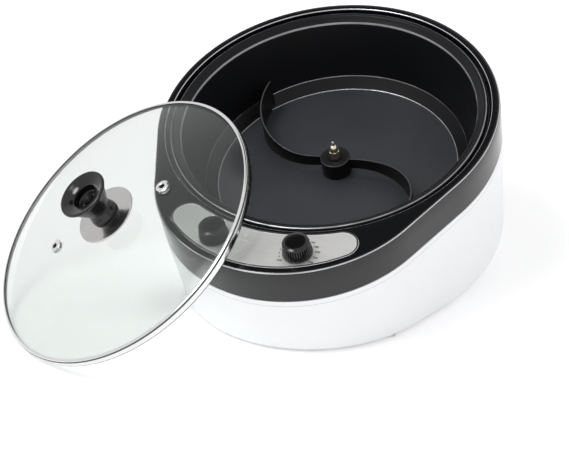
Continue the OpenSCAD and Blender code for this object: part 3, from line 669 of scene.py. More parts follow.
class Shape:
    """A mesh being made with bmesh operators, in millimetres in its own frame."""

    def __init__(self) -> None:
        """Start an empty mesh."""
        self.bm = bmesh.new()

    @classmethod
    def turned(cls, profile: Sequence[Point], steps: int) -> "Shape":
        """Spin a closed profile round Z.

        Args:
            profile: (radius, height) points in order, joined back to the first.
            steps: how many steps the full turn has.

        Returns:
            The closed shape.
        """
        shape = cls()
        verts = [shape.bm.verts.new((r, 0, z)) for r, z in profile]
        edges = []
        for first, second in zip(verts, verts[1:] + verts[:1]):
            if first.co.x > 0 or second.co.x > 0:
                edges.append(shape.bm.edges.new((first, second)))
        bmesh.ops.spin(
            shape.bm,
            geom=verts + edges,
            axis=(0, 0, 1),
            cent=(0, 0, 0),
            angle=math.tau,
            steps=steps,
            use_merge=True,
        )
        return shape.closed()

    @classmethod
    def lofted(cls, sections: Sequence[Section], steps: int, joined: bool = False) -> "Shape":
        """Run a wall through sections that all go once round Z.

        Args:
            sections: each gives the point at an angle round Z.
            steps: the number of points in a section.
            joined: True to join the last section back to the first, as on a
                hollow ring. Otherwise both ends get a face.

        Returns:
            The closed shape.
        """
        shape = cls()
        bm = shape.bm
        bmesh.ops.create_circle(bm, segments=steps, radius=10.0)
        ring = list(bm.verts)
        angles = [math.atan2(vert.co.y, vert.co.x) for vert in ring]
        loop = list(bm.edges)
        first_loop = loop
        for number, section in enumerate(sections):
            if number:
                made = bmesh.ops.extrude_edge_only(bm, edges=loop)["geom"]
                fresh = [item for item in made if isinstance(item, bmesh.types.BMVert)]
                loop = [item for item in made if isinstance(item, bmesh.types.BMEdge)]
                loop = [edge for edge in loop if set(edge.verts) <= set(fresh)]
                above = {cls.spot(vert): vert for vert in fresh}
                ring = [above[cls.spot(vert)] for vert in ring]
            for vert, angle in zip(ring, angles):
                vert.co = section(angle)
        if joined:
            bmesh.ops.bridge_loops(bm, edges=first_loop + loop)
        else:
            bmesh.ops.contextual_create(bm, geom=first_loop)
            bmesh.ops.contextual_create(bm, geom=loop)
        return shape.closed()

    @staticmethod
    def spot(vert: bmesh.types.BMVert) -> tuple[float, ...]:
        """Return a point's place, rounded, to find the point that lies on it."""
        return tuple(round(part, 6) for part in vert.co)

    @classmethod
    def cast(cls, node: str, at: Matrix, merge_mm: float) -> "Shape":
        """Copy a CAD node's mesh, merged, into a frame.

        Args:
            node: the CAD node's name.
            at: the frame, in millimetres, that the copy is worked on in.
            merge_mm: how near two points are to be merged.

        Returns:
            The copy.
        """
        shape = cls()
        shape.bm.from_mesh(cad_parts[node].data)
        shape.move(at.inverted() @ Matrix.Scale(1 / MM, 4))
        bmesh.ops.remove_doubles(shape.bm, verts=shape.bm.verts, dist=merge_mm)
        bmesh.ops.dissolve_degenerate(shape.bm, edges=shape.bm.edges, dist=merge_mm)
        return shape

    def closed(self) -> "Shape":
        """Merge doubles and turn all faces outwards.

        Returns:
            The shape.
        """
        bmesh.ops.remove_doubles(self.bm, verts=self.bm.verts, dist=MERGE_MM)
        bmesh.ops.recalc_face_normals(self.bm, faces=self.bm.faces)
        return self

    def move(self, matrix: Matrix) -> "Shape":
        """Move every point by a matrix and return the shape."""
        bmesh.ops.transform(self.bm, matrix=matrix, verts=self.bm.verts)
        return self

    def to_mesh(self, name: str) -> bpy.types.Mesh:
        """Turn the shape into Blender's own mesh, and let go of it.

        Args:
            name: the mesh's name.

        Returns:
            The mesh.
        """
        mesh = bpy.data.meshes.new(name)
        self.bm.to_mesh(mesh)
        self.bm.free()
        return mesh

    def join(self, other: "Shape") -> "Shape":
        """Add another shape's mesh to this one.

        Args:
            other: the shape that is used up.

        Returns:
            This shape.
        """
        spare = other.to_mesh("spare")
        self.bm.from_mesh(spare)
        bpy.data.meshes.remove(spare)
        return self

    def mark(self, choose: Chooser) -> "Shape":
        """Number each face's finish.

        Args:
            choose: gives the number from the face's radius, its height and itself.

        Returns:
            The shape.
        """
        for face in self.bm.faces:
            spot = face.calc_center_median()
            face.material_index = choose(math.hypot(spot.x, spot.y), spot.z, face)
        return self

    def soften(self, width_mm: float, over_deg: float, segments: int) -> "Shape":
        """Round the sharp edges.

        Args:
            width_mm: how far from the edge the round starts.
            over_deg: only edges that turn by more are rounded.
            segments: the steps of the round.

        Returns:
            The shape.
        """
        sharp = [
            edge
            for edge in self.bm.edges
            if len(edge.link_faces) == 2
            and edge.calc_face_angle(0.0) > math.radians(over_deg)
        ]
        bmesh.ops.bevel(
            self.bm,
            geom=sharp,
            offset=width_mm,
            offset_type="OFFSET",
            affect="EDGES",
            segments=segments,
            profile=0.5,
            material=-1,
            clamp_overlap=True,
        )
        return self


class Bench:
    """Turns shapes into pieces, each parented to its body's empty in place of the CAD nodes it
    stands for.
    """

    def __init__(self) -> None:
        """Make every finish once."""
        self.paints = {name: finish.make(name) for name, finish in FINISHES.items()}
        self.made: list[str] = []

    def place(
        self,
        shape: Shape,
        name: str,
        at: Matrix,
        body: Body,
        slot: str,
        stands_for: Sequence[str] = (),
        finishes: Sequence[str] = (),
        smooth_deg: float = SMOOTH_DEG,
    ) -> None:
        """Place a finished shape as a piece.

        Args:
            shape: the shape, in millimetres in its own frame.
            name: the piece's name.
            at: the frame that the shape is in.
            body: the body that it rides on.
            slot: the record's material slot.
            stands_for: the CAD nodes that the piece replaces.
            finishes: the finishes of its faces by material index; the slot's
                own finish where none is given.
            smooth_deg: edges that turn by more are shaded sharp.
        """
        shape.move(Matrix.Scale(MM, 4) @ at)
        for face in shape.bm.faces:
            face.smooth = True
        for edge in shape.bm.edges:
            edge.smooth = edge.calc_face_angle(0.0) < math.radians(smooth_deg)
        piece = self.stand(name, shape.to_mesh(name), *(finishes or (slot,)))
        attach(piece, body.value)
        if stands_for:
            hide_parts(*stands_for)
        self.made.append(name)
        LOG.info("%s: %d faces on %s", name, len(piece.data.polygons), body.value)

    def stand(self, name: str, mesh: bpy.types.Mesh, *finishes: str) -> bpy.types.Object:
        """Give a mesh its finishes and put it in the scene.

        Args:
            name: the object's name.
            mesh: the mesh.
            finishes: its finishes, by material index.

        Returns:
            The object.
        """
        for finish in finishes:
            mesh.materials.append(self.paints[finish])
        thing = bpy.data.objects.new(name, mesh)
        bpy.context.scene.collection.objects.link(thing)
        return thing

    def paint_nodes(self) -> None:
        """Give every CAD node that still shows its slot's finish, but the lid screw and the nut
        washer the blades' black.
        """
        for name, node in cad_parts.items():
            for place, held in enumerate(node.data.materials):
                # the lid screw's black is painted shade in the knob's recess
                slot = BLACKENED.get(name, held.name.split(".")[0])
                node.data.materials[place] = self.paints[slot]
                LOG.info("%s: finish %s", name, slot)


# ------------------------------------------------------------------ ring and panel


@dataclass
class RingTop:
    """The black ring: an egg outline, a rounded outer edge, a deck and the pan's seat, with a
    painted highlight along its rounded edges.
    """

    rear_r: float = 145.0
    nose_r: float = 120.0
    nose_offset: float = 66.0
    band_h: float = 33.0
    hole_r: float = 137.7
    deck_t: float = 3.0
    wall_t: float = 3.0
    foot_round: float = 0.5
    knee_z: float = -14.0
    edge_r: float = 2.0
    edge_catch: Point = (0.5, 0.88)
    lip_r: float = 0.8
    lip_w: float = 2.0
    lip_catch: Point = (0.2, 0.98)
    seat_z: float = -7.0
    seat_t: float = 2.5
    seat_r: float = 127.5
    seat_round: float = 0.6
    tube_t: float = 2.0
    tube_z: float = -16.0
    draft: float = 0.02
    screw_r: float = 1.7
    lug_at: Point = (74.0, -134.0)
    lug_top: float = -31.8
    lug_r: float = 5.0
    post_out: float = 134.4
    post_r: float = 4.0
    post_angles: tuple[int, ...] = (30, 150, 210, 330)
    post_steps: int = 32
    steps: int = 288

    def outline(self, inset: float, angle: float) -> Vector:
        """Return the egg outline's point in a direction from the drum's axis.

        Args:
            inset: how far inside the outer outline.
            angle: the direction round the axis.

        Returns:
            The point, with Z = 0.
        """
        rear = self.rear_r - inset
        nose = self.nose_r - inset
        lean = (self.rear_r - self.nose_r) / self.nose_offset
        across = math.sqrt(1 - lean * lean)
        ray = polar(1.0, angle)
        side = abs(ray.x)
        rear_end = math.atan2(across, lean)
        nose_end = math.atan2(nose * across, self.nose_offset + nose * lean)
        off_front = math.atan2(side, -ray.y)
        if off_front > rear_end:
            reach = rear
        elif off_front > nose_end:
            reach = rear / (side * across - ray.y * lean)
        else:
            ahead = -ray.y * self.nose_offset
            reach = ahead + math.sqrt(ahead * ahead - self.nose_offset**2 + nose * nose)
        return ray * reach

    def egg(self, inset: float, height: float) -> Section:
        """Return a section on the egg outline at a height."""
        up = Vector((0, 0, height))
        return lambda angle: self.outline(inset, angle) + up

    def sections(self) -> list[Section]:
        """List the sections of the ring's wall.

        Returns:
            The sections from the band's inner foot over the deck to the ledge.
        """
        foot = self.draft * self.band_h
        turns = [math.radians(turn) for turn in range(0, 91, 15)]
        outer = [
            (foot + self.wall_t, -self.band_h),
            (foot + self.foot_round, -self.band_h),
            (foot, -self.band_h + self.foot_round),
            (self.draft * -self.knee_z, self.knee_z),
        ]
        for turn in turns:
            outer.append((self.edge_r * (1 - math.cos(turn)), self.edge_r * (math.sin(turn) - 1)))
        inner = []
        for turn in turns:
            out = self.hole_r + self.lip_r * (1 - math.sin(turn))
            inner.append((out, self.lip_r * (math.cos(turn) - 1)))
        inner += [
            (self.hole_r, self.seat_z + self.seat_round),
            (self.hole_r - self.seat_round, self.seat_z),
            (self.seat_r, self.seat_z),
            (self.seat_r, self.seat_z - self.seat_t),
            (self.hole_r, self.seat_z - self.seat_t),
            (self.hole_r, self.tube_z),
            (self.hole_r + self.tube_t, self.tube_z),
            (self.hole_r + self.tube_t, -self.deck_t),
        ]
        return [
            *(self.egg(inset, height) for inset, height in outer),
            *(circle(radius, height) for radius, height in inner),
            self.egg(self.wall_t, -self.deck_t),
        ]

    def edge(self, radius: float, height: float, face: bmesh.types.BMFace) -> int:
        """Choose a face's finish by how the light catches it.

        Args:
            radius: the face's distance from the axis.
            height: its height.
            face: the face.

        Returns:
            1 on the middle of the rounded edges, which get a painted highlight, else 0.
        """
        on_lip = radius < self.hole_r + self.lip_w
        low, high = self.lip_catch if on_lip else self.edge_catch
        deep = self.lip_r if on_lip else self.edge_r
        return int(height > -deep and low < face.normal.z < high)

    def post(self, outer: float, low: float, high: float, spot: Matrix) -> Shape:
        """Make one bored screw post.

        Args:
            outer: its outer radius.
            low: the height of one end.
            high: the height of the other end.
            spot: where it stands.

        Returns:
            The post.
        """
        bore = self.screw_r
        profile = ((bore, low), (outer, low), (outer, high), (bore, high))
        return Shape.turned(profile, self.post_steps).move(spot)

    def build(self, bench: Bench) -> None:
        """Loft the ring, add its screw posts and place it.

        Args:
            bench: takes the finished piece.
        """
        ring = Shape.lofted(self.sections(), self.steps, joined=True)
        for side in (-1, 1):
            spot = Matrix.Translation((side * self.lug_at[0], self.lug_at[1], 0))
            ring.join(self.post(self.lug_r, self.lug_top, -self.deck_t, spot))
        out = Matrix.Translation((self.post_out, 0, 0))
        for turn in self.post_angles:
            spot = Matrix.Rotation(math.radians(turn), 4, "Z") @ out
            ring.join(self.post(self.post_r, self.tube_z, self.seat_z - self.seat_t, spot))
        bench.place(
            ring.mark(self.edge),
            "ring_shell",
            STANCE.drum(),
            Body.HOUSING,
            "ring_black",
            ("top_ring",),
            # the second finish is the painted highlight on the rounded edges
            ("ring_black", "ring_edge_painted_highlight"),
            smooth_deg=40,
        )


@dataclass
class Panel:
    """The silver panel: a brushed field inside a raised, polished bead."""

    rise: float = 0.35
    edge_w: float = 0.25
    edge_h: float = 0.22
    bead_w: float = 1.3
    step_w: float = 0.45
    step_h: float = 0.3
    merge: float = 0.05
    flat_deg: float = 0.4

    def build(self, bench: Bench) -> None:
        """Raise the bead on a copy of the CAD panel and place it.

        Args:
            bench: takes the finished piece.
        """
        sheet = Shape.cast("control_panel", STANCE.drum(), self.merge)
        bm = sheet.bm
        flat = math.radians(self.flat_deg)
        bmesh.ops.dissolve_limit(bm, angle_limit=flat, verts=bm.verts, edges=bm.edges)
        top = [face for face in bm.faces if face.normal.z > FACES_UP]
        lifted = {vert for face in top for vert in face.verts}
        bmesh.ops.translate(bm, verts=list(lifted), vec=(0, 0, self.rise))
        steps = ((self.edge_w, self.edge_h), (self.bead_w, 0.0), (self.step_w, -self.step_h))
        for width, up in steps:
            bmesh.ops.inset_region(
                bm, faces=top, thickness=width, depth=up, use_even_offset=True, use_boundary=True
            )
        for face in bm.faces:
            face.material_index = 1
        for face in top:
            if face.is_valid:
                face.material_index = 0
        bench.place(
            sheet,
            "panel_sheet",
            STANCE.drum(),
            Body.HOUSING,
            "panel_silver",
            ("control_panel",),
            ("panel_silver", "steel_polished"),
            smooth_deg=24,
        )


@dataclass(frozen=True)
class Label:
    """One printed word or number beside a dial."""

    text: str
    angle: float
    radius: float = 15.3
    size: float = 2.8


@dataclass
class DialPrint:
    """Ink round the right dial: OFF, a dotted rise and temperatures in degrees Celsius."""

    height: float = 0.31
    labels: tuple[Label, ...] = (
        Label("OFF", -134, 16.0, 2.5),
        Label("80", 148),
        Label("100", 126),
        Label("120", 104),
        Label("140", 82),
        Label("160", 60),
        Label("180", 37),
        Label("200", 15, 16.0),
        Label("220", -7, 16.0),
        Label("240", -28, 16.0),
        Label("°C", -91, 15.2, 2.3),
    )
    bold: float = 0.08
    curve_steps: int = 3
    dots: tuple[float, ...] = (-150, -165, -180)
    dot_r: float = 0.6
    dot_out: float = 14.6
    dot_steps: int = 20

    def spot(self, radius: float, angle: float) -> Matrix:
        """Return the move to a place on the panel, its angle in degrees."""
        return Matrix.Translation(polar(radius, math.radians(angle), self.height))

    def word(self, label: Label) -> Shape:
        """Write one label as a flat mesh.

        Args:
            label: the word or number.

        Returns:
            The mesh, centred on its place by the dial.
        """
        curve = bpy.data.curves.new("label", "FONT")
        curve.body = label.text
        curve.size = label.size
        curve.align_x = "CENTER"
        curve.align_y = "CENTER"
        curve.resolution_u = self.curve_steps
        curve.offset = self.bold
        holder = bpy.data.objects.new("label", curve)
        bpy.context.scene.collection.objects.link(holder)
        bpy.context.view_layer.update()
        flat = holder.evaluated_get(bpy.context.evaluated_depsgraph_get()).to_mesh()
        shape = Shape()
        shape.bm.from_mesh(flat)
        bpy.data.objects.remove(holder)
        bpy.data.curves.remove(curve)
        return shape.move(self.spot(label.radius, label.angle))

    def build(self, bench: Bench) -> None:
        """Place all the ink by the right dial as one piece.

        Args:
            bench: takes the finished piece.
        """
        ink = Shape()
        for label in self.labels:
            ink.join(self.word(label))
        for turn in self.dots:
            bmesh.ops.create_circle(
                ink.bm,
                cap_ends=True,
                segments=self.dot_steps,
                radius=self.dot_r,
                matrix=self.spot(self.dot_out, turn),
            )
        flip = [face for face in ink.bm.faces if face.normal.z < 0]
        bmesh.ops.reverse_faces(ink.bm, faces=flip)
        at = STANCE.dial(1)
        bench.place(ink, "dial_print", at, Body.HOUSING, "knob_black", (), ("dial_ink",))


# ------------------------------------------------------------------ pan and stirrer


@dataclass
class Pan:
    """The coated pan: a flat floor, a rounded foot, a steep wall and a rolled lip."""

    rim_r: float = 125.0
    lip_z: float = -6.0
    depth: float = 59.0
    sheet: float = 1.4
    floor_r: float = 104.0
    foot_r: float = 113.6
    foot_rise: float = 51.0
    foot_thin: float = 0.6
    crease_r: float = 1.6
    crease_steps: int = 8
    highlight_w: float = 0.9
    highlight_turns: Point = (72.0, 172.0)
    bead_r: float = 132.0
    bore_r: float = 8.05
    rim_over: tuple[Point, ...] = (
        (-0.6, -1.6), (-0.1, -0.4), (0.3, 0.4), (0.9, 1.0), (2.0, 1.7),
    )
    bead_over: tuple[Point, ...] = (
        (-2.5, 3.8), (-1.7, 4.6), (-0.8, 5.0), (0.8, 5.0), (1.7, 4.5), (2.4, 3.6),
        (2.8, 2.4), (2.8, 0.3), (1.4, 0.3), (1.4, 2.0), (0.0, 3.4), (-2.0, 2.4),
    )
    rim_under: tuple[Point, ...] = ((2.6, 0.0), (1.5, -2.0))
    rim_line: Point = (-0.2, 0.6)
    rim_line_z: float = -1.0
    bead_line: Point = (0.75, 1.75)
    bead_line_z: float = 4.0
    level: float = 0.2
    steps: int = 216

    def crease(self, at: Point, start: float, end: float, bend: float) -> list[Point]:
        """Return a small rounded inner corner of the pan's section.

        Args:
            at: the corner, before it is rounded.
            start: the slope of the section before it, as an angle.
            end: the slope after it.
            bend: the radius that rounds it.

        Returns:
            Points from the start of the round to its end.
        """
        reach = bend * math.tan((end - start) / 2)
        centre_r = at[0] - reach * math.cos(start) - bend * math.sin(start)
        centre_z = at[1] - reach * math.sin(start) + bend * math.cos(start)
        points = []
        for step in range(self.crease_steps + 1):
            turn = start + (end - start) * step / self.crease_steps
            points.append((centre_r + bend * math.sin(turn), centre_z - bend * math.cos(turn)))
        return points

    def corners(self) -> tuple[Point, Point]:
        """Return the section's corners at the floor's edge and at the wall's foot."""
        return (self.floor_r, self.lip_z - self.depth), (self.foot_r, self.lip_z - self.foot_rise)

    def profile(self) -> list[Point]:
        """Draw the pan's section.

        Returns:
            Points from the bore out over the lip and back below.
        """
        floor, foot = self.corners()
        under = (floor[0] + self.foot_thin, floor[1] - self.sheet)
        below = (foot[0] + self.sheet, foot[1] - self.foot_thin)
        slope = math.atan2(foot[1] - floor[1], foot[0] - floor[0])
        steep = math.atan2(self.lip_z - foot[1], self.rim_r - foot[0])
        bend = self.crease_r + self.sheet
        outer = [*self.crease(under, 0.0, slope, bend), *self.crease(below, slope, steep, bend)]
        return [
            (self.bore_r, floor[1]),
            *self.crease(floor, 0.0, slope, self.crease_r),
            *self.crease(foot, slope, steep, self.crease_r),
            *shifted(self.rim_over, self.rim_r, self.lip_z),
            *shifted(self.bead_over, self.bead_r, self.lip_z),
            *shifted(self.rim_under, self.rim_r, self.lip_z),
            *reversed(outer),
            (self.bore_r, under[1]),
        ]

    def part(self, radius: float, height: float, face: bmesh.types.BMFace) -> int:
        """Choose a face's finish.

        Args:
            radius: the face's distance from the axis.
            height: its height.
            face: the face.

        Returns:
            1 on the floor, a lighter copy of the coating as painted light; 2 on the
            creases at the back, a brighter painted highlight; 3 on the other creases
            and on fine lines round the lip and the bead, a fainter painted highlight;
            else 0.
        """
        if face.normal.z < 0.1:
            return 0
        for crease_r, crease_z in self.corners():
            if math.hypot(radius - crease_r, height - crease_z) < self.highlight_w / 2:
                spot = face.calc_center_median()
                turn = math.degrees(math.atan2(spot.y, spot.x))
                return 2 if self.highlight_turns[0] < turn < self.highlight_turns[1] else 3
        above = height - self.lip_z
        low, high = self.rim_line
        if low < radius - self.rim_r < high and above > self.rim_line_z:
            return 3
        low, high = self.bead_line
        if low < radius - self.bead_r < high and above > self.bead_line_z:
            return 3
        return int(abs(above + self.depth) < self.level and radius < self.floor_r)

    def build(self, bench: Bench) -> None:
        """Spin the pan and place it.

        Args:
            bench: takes the finished piece.
        """
        bench.place(
            Shape.turned(self.profile(), self.steps).mark(self.part),
            "pan_bowl",
            STANCE.drum(),
            Body.HOUSING,
            "pan_coating",
            ("roasting_pan",),
            # the floor finish is painted light; the two metal finishes are painted highlights on
            # the creases and lip lines
            ("pan_coating", "pan_floor_painted_light", "pan_crease_painted_highlight", "pan_line_painted_highlight"),
        )


@dataclass
class Stirrer:
    """The hub and its two bent blades, low at the hub and high at the tips."""

    floor_z: float = -65.0
    foot: float = 0.9
    root_h: float = 14.0
    tip_h: float = 29.0
    root_gap: float = 3.6
    root_share: float = 0.55
    sheet: float = 1.8
    soft_w: float = 0.6
    soft_deg: float = 50.0
    soft_steps: int = 3
    bend_r: float = 58.0
    lead_deg: float = 9.4
    run: float = 20.0
    run_points: tuple[float, ...] = (5.0, 9.0, 13.0, 16.5)
    bend_deg: float = 106.0
    tip: float = 4.0
    rise_point: int = 14
    steps: int = 64
    foot_r: float = 101.5
    foot_reach: float = 10.6
    foot_reach_max: float = 0.999
    foot_high: float = 8.0
    hub_r: float = 12.9
    skirt_r: float = 12.15
    skirt_z: float = -64.85
    hub_z: float = -63.6
    hub_h: float = 14.4
    hub_steps: int = 96
    hub_foot: tuple[Point, ...] = ((-0.15, 0.0), (0.0, 0.2))
    hub_round: tuple[Point, ...] = (
        (0.0, -1.2), (-0.12, -0.75), (-0.4, -0.35), (-0.75, -0.12), (-1.2, 0.0),
    )
    hub_line: Point = (-0.9, 0.2)
    hub_catch: Point = (0.3, 0.97)
    top_catch: float = 0.85
    bore_r: float = 4.6

    def plan(self) -> list[Vector]:
        """Draw one arm's centre line, seen from above.

        Returns:
            Points from inside the hub to the arm's tip.
        """
        lead, bend = math.radians(self.lead_deg), math.radians(self.bend_deg)
        out = polar(1.0, lead)
        centre = out * self.run + Vector((math.sin(lead), -math.cos(lead), 0)) * self.bend_r
        points = [out * reach for reach in self.run_points]
        for step in range(self.steps + 1):
            turn = bend * step / self.steps - lead
            points.append(centre + Vector((math.sin(turn), math.cos(turn), 0)) * self.bend_r)
        ahead = polar(1.0, lead - bend)
        return [*points, points[-1] + ahead * (self.tip / 2), points[-1] + ahead * self.tip]

    def edges(self) -> list[tuple[Vector, Vector]]:
        """Work out one arm's edges.

        Returns:
            The lower and the upper edge's points, pair by pair.
        """
        plan = self.plan()
        low = self.floor_z + self.foot
        rise_from = plan[self.rise_point]
        whole = plan[-1] - rise_from
        pairs = []
        for number, point in enumerate(plan):
            climb = max(0.0, (point - rise_from).dot(whole) / whole.length_squared)
            top = low + self.root_h + (self.tip_h - self.root_h) * min(1.0, climb)
            near_hub = max(0.0, 1 - number / (len(plan) * self.root_share))
            over = max(0.0, (point.length - self.foot_r) / self.foot_reach)
            over = min(self.foot_reach_max, over)
            cove = self.foot_high * (1 - math.sqrt(1 - over * over))
            bottom = low + max(self.root_gap * near_hub, cove)
            pairs.append((point + Vector((0, 0, bottom)), point + Vector((0, 0, top))))
        return pairs

    def rim(self, radius: float, height: float, face: bmesh.types.BMFace) -> int:
        """Choose a face's finish.

        Args:
            radius: the face's distance from the axis.
            height: its height.
            face: the face.

        Returns:
            1 on the blades' top edges and on the hub's rounded rim, which get a painted
            highlight, else 0.
        """
        inner, outer = self.hub_line
        low, high = self.hub_catch
        if radius < self.hub_r + outer:
            return int(radius > self.hub_r + inner and low < face.normal.z < high)
        return int(face.normal.z > self.top_catch and height > self.floor_z + self.root_h)

    def arm(self) -> Shape:
        """Extrude one arm along its edges.

        Returns:
            A thick, soft-edged blade.
        """
        shape = Shape()
        bm = shape.bm
        pairs = self.edges()
        edge = bm.edges.new([bm.verts.new(pairs[0][0]), bm.verts.new(pairs[0][1])])
        for bottom, top in pairs[1:]:
            made = bmesh.ops.extrude_edge_only(bm, edges=[edge])["geom"]
            fresh = [item for item in made if isinstance(item, bmesh.types.BMVert)]
            fresh.sort(key=lambda vert: vert.co.z)
            fresh[0].co, fresh[1].co = bottom, top
            edges = [item for item in made if isinstance(item, bmesh.types.BMEdge)]
            edge = next(item for item in edges if set(item.verts) == set(fresh))
        bmesh.ops.recalc_face_normals(bm, faces=bm.faces)
        bmesh.ops.solidify(bm, geom=bm.faces[:], thickness=self.sheet)
        return shape.closed().soften(self.soft_w, self.soft_deg, self.soft_steps)

    def build(self, bench: Bench) -> None:
        """Make the hub and both arms and place them as one piece.

        Args:
            bench: takes the finished piece.
        """
        top = self.hub_z + self.hub_h
        profile = (
            (self.bore_r, self.hub_z),
            (self.skirt_r, self.hub_z),
            (self.skirt_r, self.skirt_z),
            *shifted(self.hub_foot, self.hub_r, self.skirt_z),
            *shifted(self.hub_round, self.hub_r, top),
            (self.bore_r, top),
        )
        hub = Shape.turned(profile, self.hub_steps)
        for turn in (0.0, math.pi):
            hub.join(self.arm().move(Matrix.Rotation(turn, 4, "Z")))
        bench.place(
            hub.mark(self.rim),
            "stirrer_blade",
            STANCE.drum(),
            Body.STIRRING,
            "stirrer_black",
            ("stirrer",),
            # the second finish is the painted highlight on the top edges
            ("stirrer_black", "stirrer_top_painted_highlight"),
        )


# ------------------------------------------------------------------ dials


@dataclass
class DialKnob:
    """A fluted control knob with a chamfered, glossy top."""

    name: str
    node: str
    side: float
    body: Body
    foot_r: float = 12.5
    foot_round: float = 0.4
    top_r: float = 10.85
    top_h: float = 1.2
    height: float = 13.0
    gap: float = 0.5
    flutes: int = 36
    flute: float = 0.8
    flute_w: float = 0.62
    index_flute: float = 1.35
    flute_steps: int = 10
    fade: tuple[Point, ...] = ((5.0, 1.0), (9.6, 1.0), (10.5, 0.75), (11.1, 0.2), (11.6, 0.0))
    crown: tuple[Point, ...] = (
        (-0.1, 0.15), (-0.35, 0.36), (-0.5, 0.42), (-2.0, 1.0), (-2.2, 1.06), (-2.9, 1.2),
    )
    hollow_r: float = 8.9
    hollow_h: float = 4.2
    socket_r: float = 2.9

    def rim(self, radius: float, height: float, share: float) -> Section:
        """Return a fluted section.

        Args:
            radius: its radius outside the flutes.
            height: its height.
            share: how much of their full depth the flutes have.

        Returns:
            The section.
        """

        def point(angle: float) -> Vector:
            """Find the section's point at an angle.

            Args:
                angle: the direction round the knob's axis.

            Returns:
                The point.
            """
            phase = (angle + math.pi / 2) * self.flutes / math.tau
            off = abs(phase - round(phase))
            deep = self.index_flute if abs(phase) < 0.5 else 1.0
            groove = math.cos(off * math.pi / self.flute_w) if off < self.flute_w / 2 else 0.0
            return polar(radius - self.flute * share * groove * deep, angle, height)

        return point

    def wide(self, height: float) -> float:
        """Return the tapered skirt's radius at a height."""
        climb = (height - self.gap) / (self.height - self.top_h - self.gap)
        return self.foot_r - (self.foot_r - self.top_r) * climb

    def build(self, bench: Bench) -> None:
        """Loft the knob and place it over its spindle.

        Args:
            bench: takes the finished piece.
        """
        crown = shifted(self.crown, self.top_r, self.height - self.top_h)
        sections = [
            circle(self.socket_r, self.gap + self.hollow_h),
            circle(self.hollow_r, self.gap + self.hollow_h),
            circle(self.hollow_r, self.gap),
            self.rim(self.foot_r - self.foot_round, self.gap, 1.0),
            self.rim(self.foot_r, self.gap + self.foot_round, 1.0),
            *(self.rim(self.wide(height), height, share) for height, share in self.fade),
            *(self.rim(radius, height, 0.0) for radius, height in crown),
        ]
        bench.place(
            Shape.lofted(sections, self.flutes * self.flute_steps),
            self.name,
            STANCE.dial(self.side),
            self.body,
            "knob_black",
            (self.node,),
            smooth_deg=48,
        )


# ------------------------------------------------------------------ lid


